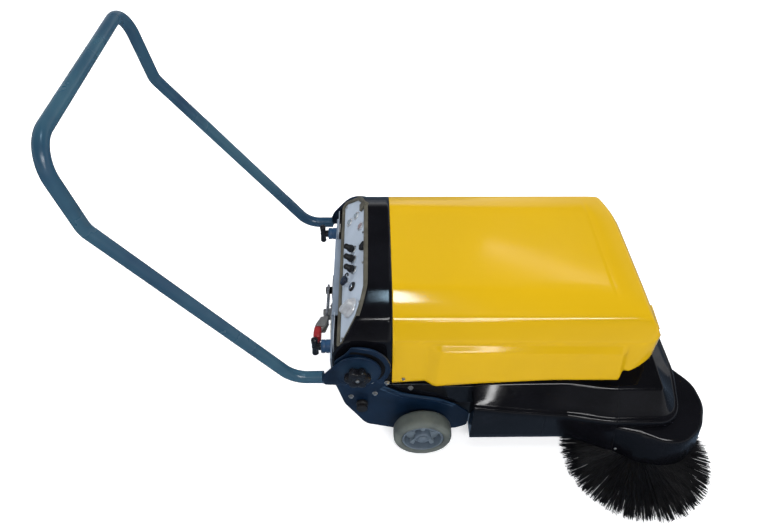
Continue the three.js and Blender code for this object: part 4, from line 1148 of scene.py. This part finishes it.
def inside_details():
    """Battery cables, filter pleats and motor fittings, seen when the hood is open."""
    lid = [box(404, 561, -111, 111, 392.4, BATTERY_TOP)]
    for k in range(5):
        lid.append(box(470, 550, -90 + 40 * k, -72 + 40 * k, BATTERY_TOP, BATTERY_TOP + 1.6))
    piece("battery_lid", lid, "base", FRAME_BLACK, bevel=1)
    for name, y, look in (("plus", 80, CABLE_RED), ("minus", -80, SOFT_BLACK)):
        clamp = [rod("z", 11, 404.4, 412, (430, y, 0), 28), box(408, 430, y - 7, y + 7, 405, 411)]
        piece(f"battery_clamp_{name}", clamp, "base", STEEL, bevel=0.8)
        path = bent([(412, y, 408), (372, y, 408), (352, y * 0.9, 330), (352, y * 0.9, 236)], (30, 40), 10)
        piece(f"battery_cable_{name}", [tube(path, 5, 16)], "base", look)
    pleats = []
    for k in range(22):
        x = -168 + 10.6 * k
        if not -112 < x < 52:
            pleats.append(prism("y", [(x, 318.5), (x + 4.5, 324), (x + 9, 318.5)], -218, 218))
    piece("filter_pleats", pleats, "base", PAPER)
    fins = [lathe("z", [(46.2, z), (49, z), (49, z + 2.4), (46.2, z + 2.4), (46.2, z)],
        (FAN_AXIS_X, 0, 0), 56) for z in range(396, 434, 7)]
    piece("fan_motor_fins", fins, "base", STEEL)
    straps = [lathe("y", [(52.3, y), (54, y), (54, y + 12), (52.3, y + 12), (52.3, y)], MOTOR_AXIS, 56)
        for y in (82, 201)]
    piece("motor_straps", straps, "base", STEEL)
    ends = []
    for k in range(4):
        angle = radians(45 + 90 * k)
        ends += bolt("y", 1, (250 + 38 * cos(angle), 0, 300 + 38 * sin(angle)), 235, 4, 3.4, 6)
    piece("motor_bolts", ends, "base", STEEL)


# ---- studio
def area_light(name, place_at, aim, size, power, colour=(1, 1, 1), glossy=True, diffuse=True):
    data = bpy.data.lights.new(name, "AREA")
    data.shape = "RECTANGLE"
    data.size, data.size_y = size
    data.energy = power
    data.color = colour
    lamp = bpy.data.objects.new(name, data)
    lamp.location = at(place_at)
    lamp.rotation_euler = (at(aim) - lamp.location).to_track_quat("-Z", "Y").to_euler()
    lamp.visible_glossy = glossy
    lamp.visible_diffuse = diffuse
    bpy.context.scene.collection.objects.link(lamp)


def studio():
    scene = bpy.context.scene
    scene.view_settings.view_transform = "Standard"
    world = bpy.data.worlds.new("studio")
    world.use_nodes = True
    tree = world.node_tree
    back = tree.nodes["Background"]
    way = tree.nodes.new("ShaderNodeTexCoord")
    split = tree.nodes.new("ShaderNodeSeparateXYZ")
    ramp_node = tree.nodes.new("ShaderNodeValToRGB")
    tree.links.new(way.outputs["Generated"], split.inputs[0])
    tree.links.new(split.outputs["Z"], ramp_node.inputs["Fac"])
    stops = ramp_node.color_ramp.elements
    stops[0].position, stops[0].color = 0.0, (0.12, 0.17, 0.24, 1)
    stops[1].position, stops[1].color = 0.45, (0.08, 0.08, 0.09, 1)
    horizon = stops.new(0.03)
    horizon.color = (0.8, 0.82, 0.85, 1)
    tree.links.new(ramp_node.outputs["Color"], back.inputs["Color"])
    scene.world = world
    area_light("key", (200, -2900, 3000), (200, 0, 200), (2.6, 1.0), 100, glossy=False)
    area_light("sky", (300, -500, 4600), (300, -100, 0), (3.2, 1.2), 26, glossy=False)
    area_light("floor_wash", (0, 4200, 4600), (0, 3400, 0), (7, 3), 330, glossy=False)
    area_light("edge_strip", (750, -2150, 2780), (300, -300, 300), (1.8, 0.3), 36, diffuse=False)
    area_light("ledge_pane", (560, -2640, 2190), (120, -290, 371), (0.5, 0.2), 5, diffuse=False)
    area_light("overhead_pane", (120, 20, 3410), (0, -190, 460), (0.36, 0.28), 9, (0.55, 0.8, 1.0),
        diffuse=False)
    area_light("back_pane", (1310, 1920, 2450), (350, -100, 455), (1.1, 0.1), 0.7, diffuse=False)
    area_light("rear_fill", (-2600, 900, 2300), (0, 0, 300), (1.4, 1.4), 35, glossy=False)
    area_light("front_fill", (3200, 300, 1900), (300, 0, 200), (1.4, 1.4), 30, glossy=False)
    floor = bpy.data.meshes.new("floor")
    half = 80
    floor.from_pydata([(-half, -half, 0), (half, -half, 0), (half, half, 0), (-half, half, 0)], [],
        [(0, 1, 2, 3)])
    pale = surface("pale_floor", (0.92, 0.92, 0.92), 0.9, specular=0.1, mottle=0.01, mottle_scale=1)
    glow = pale.node_tree.nodes["Principled BSDF"]
    glow.inputs["Emission Color"].default_value = (0.97, 0.98, 1, 1)
    glow.inputs["Emission Strength"].default_value = 0.45
    floor.materials.append(pale)
    sheet = bpy.data.objects.new("floor", floor)
    bpy.context.scene.collection.objects.link(sheet)
    sheet.visible_glossy = False


camera()
studio()
hood()
cowl()
base_tub()
side_brush_cover()
handle()
side_plates()
main_wheels()
side_brush()
main_broom()
control_panel()
controls()
hopper_face()
plungers()
latch()
inside_details()
for node_name, look in PLAIN_NODES.items():
    finish_node(node_name, look)
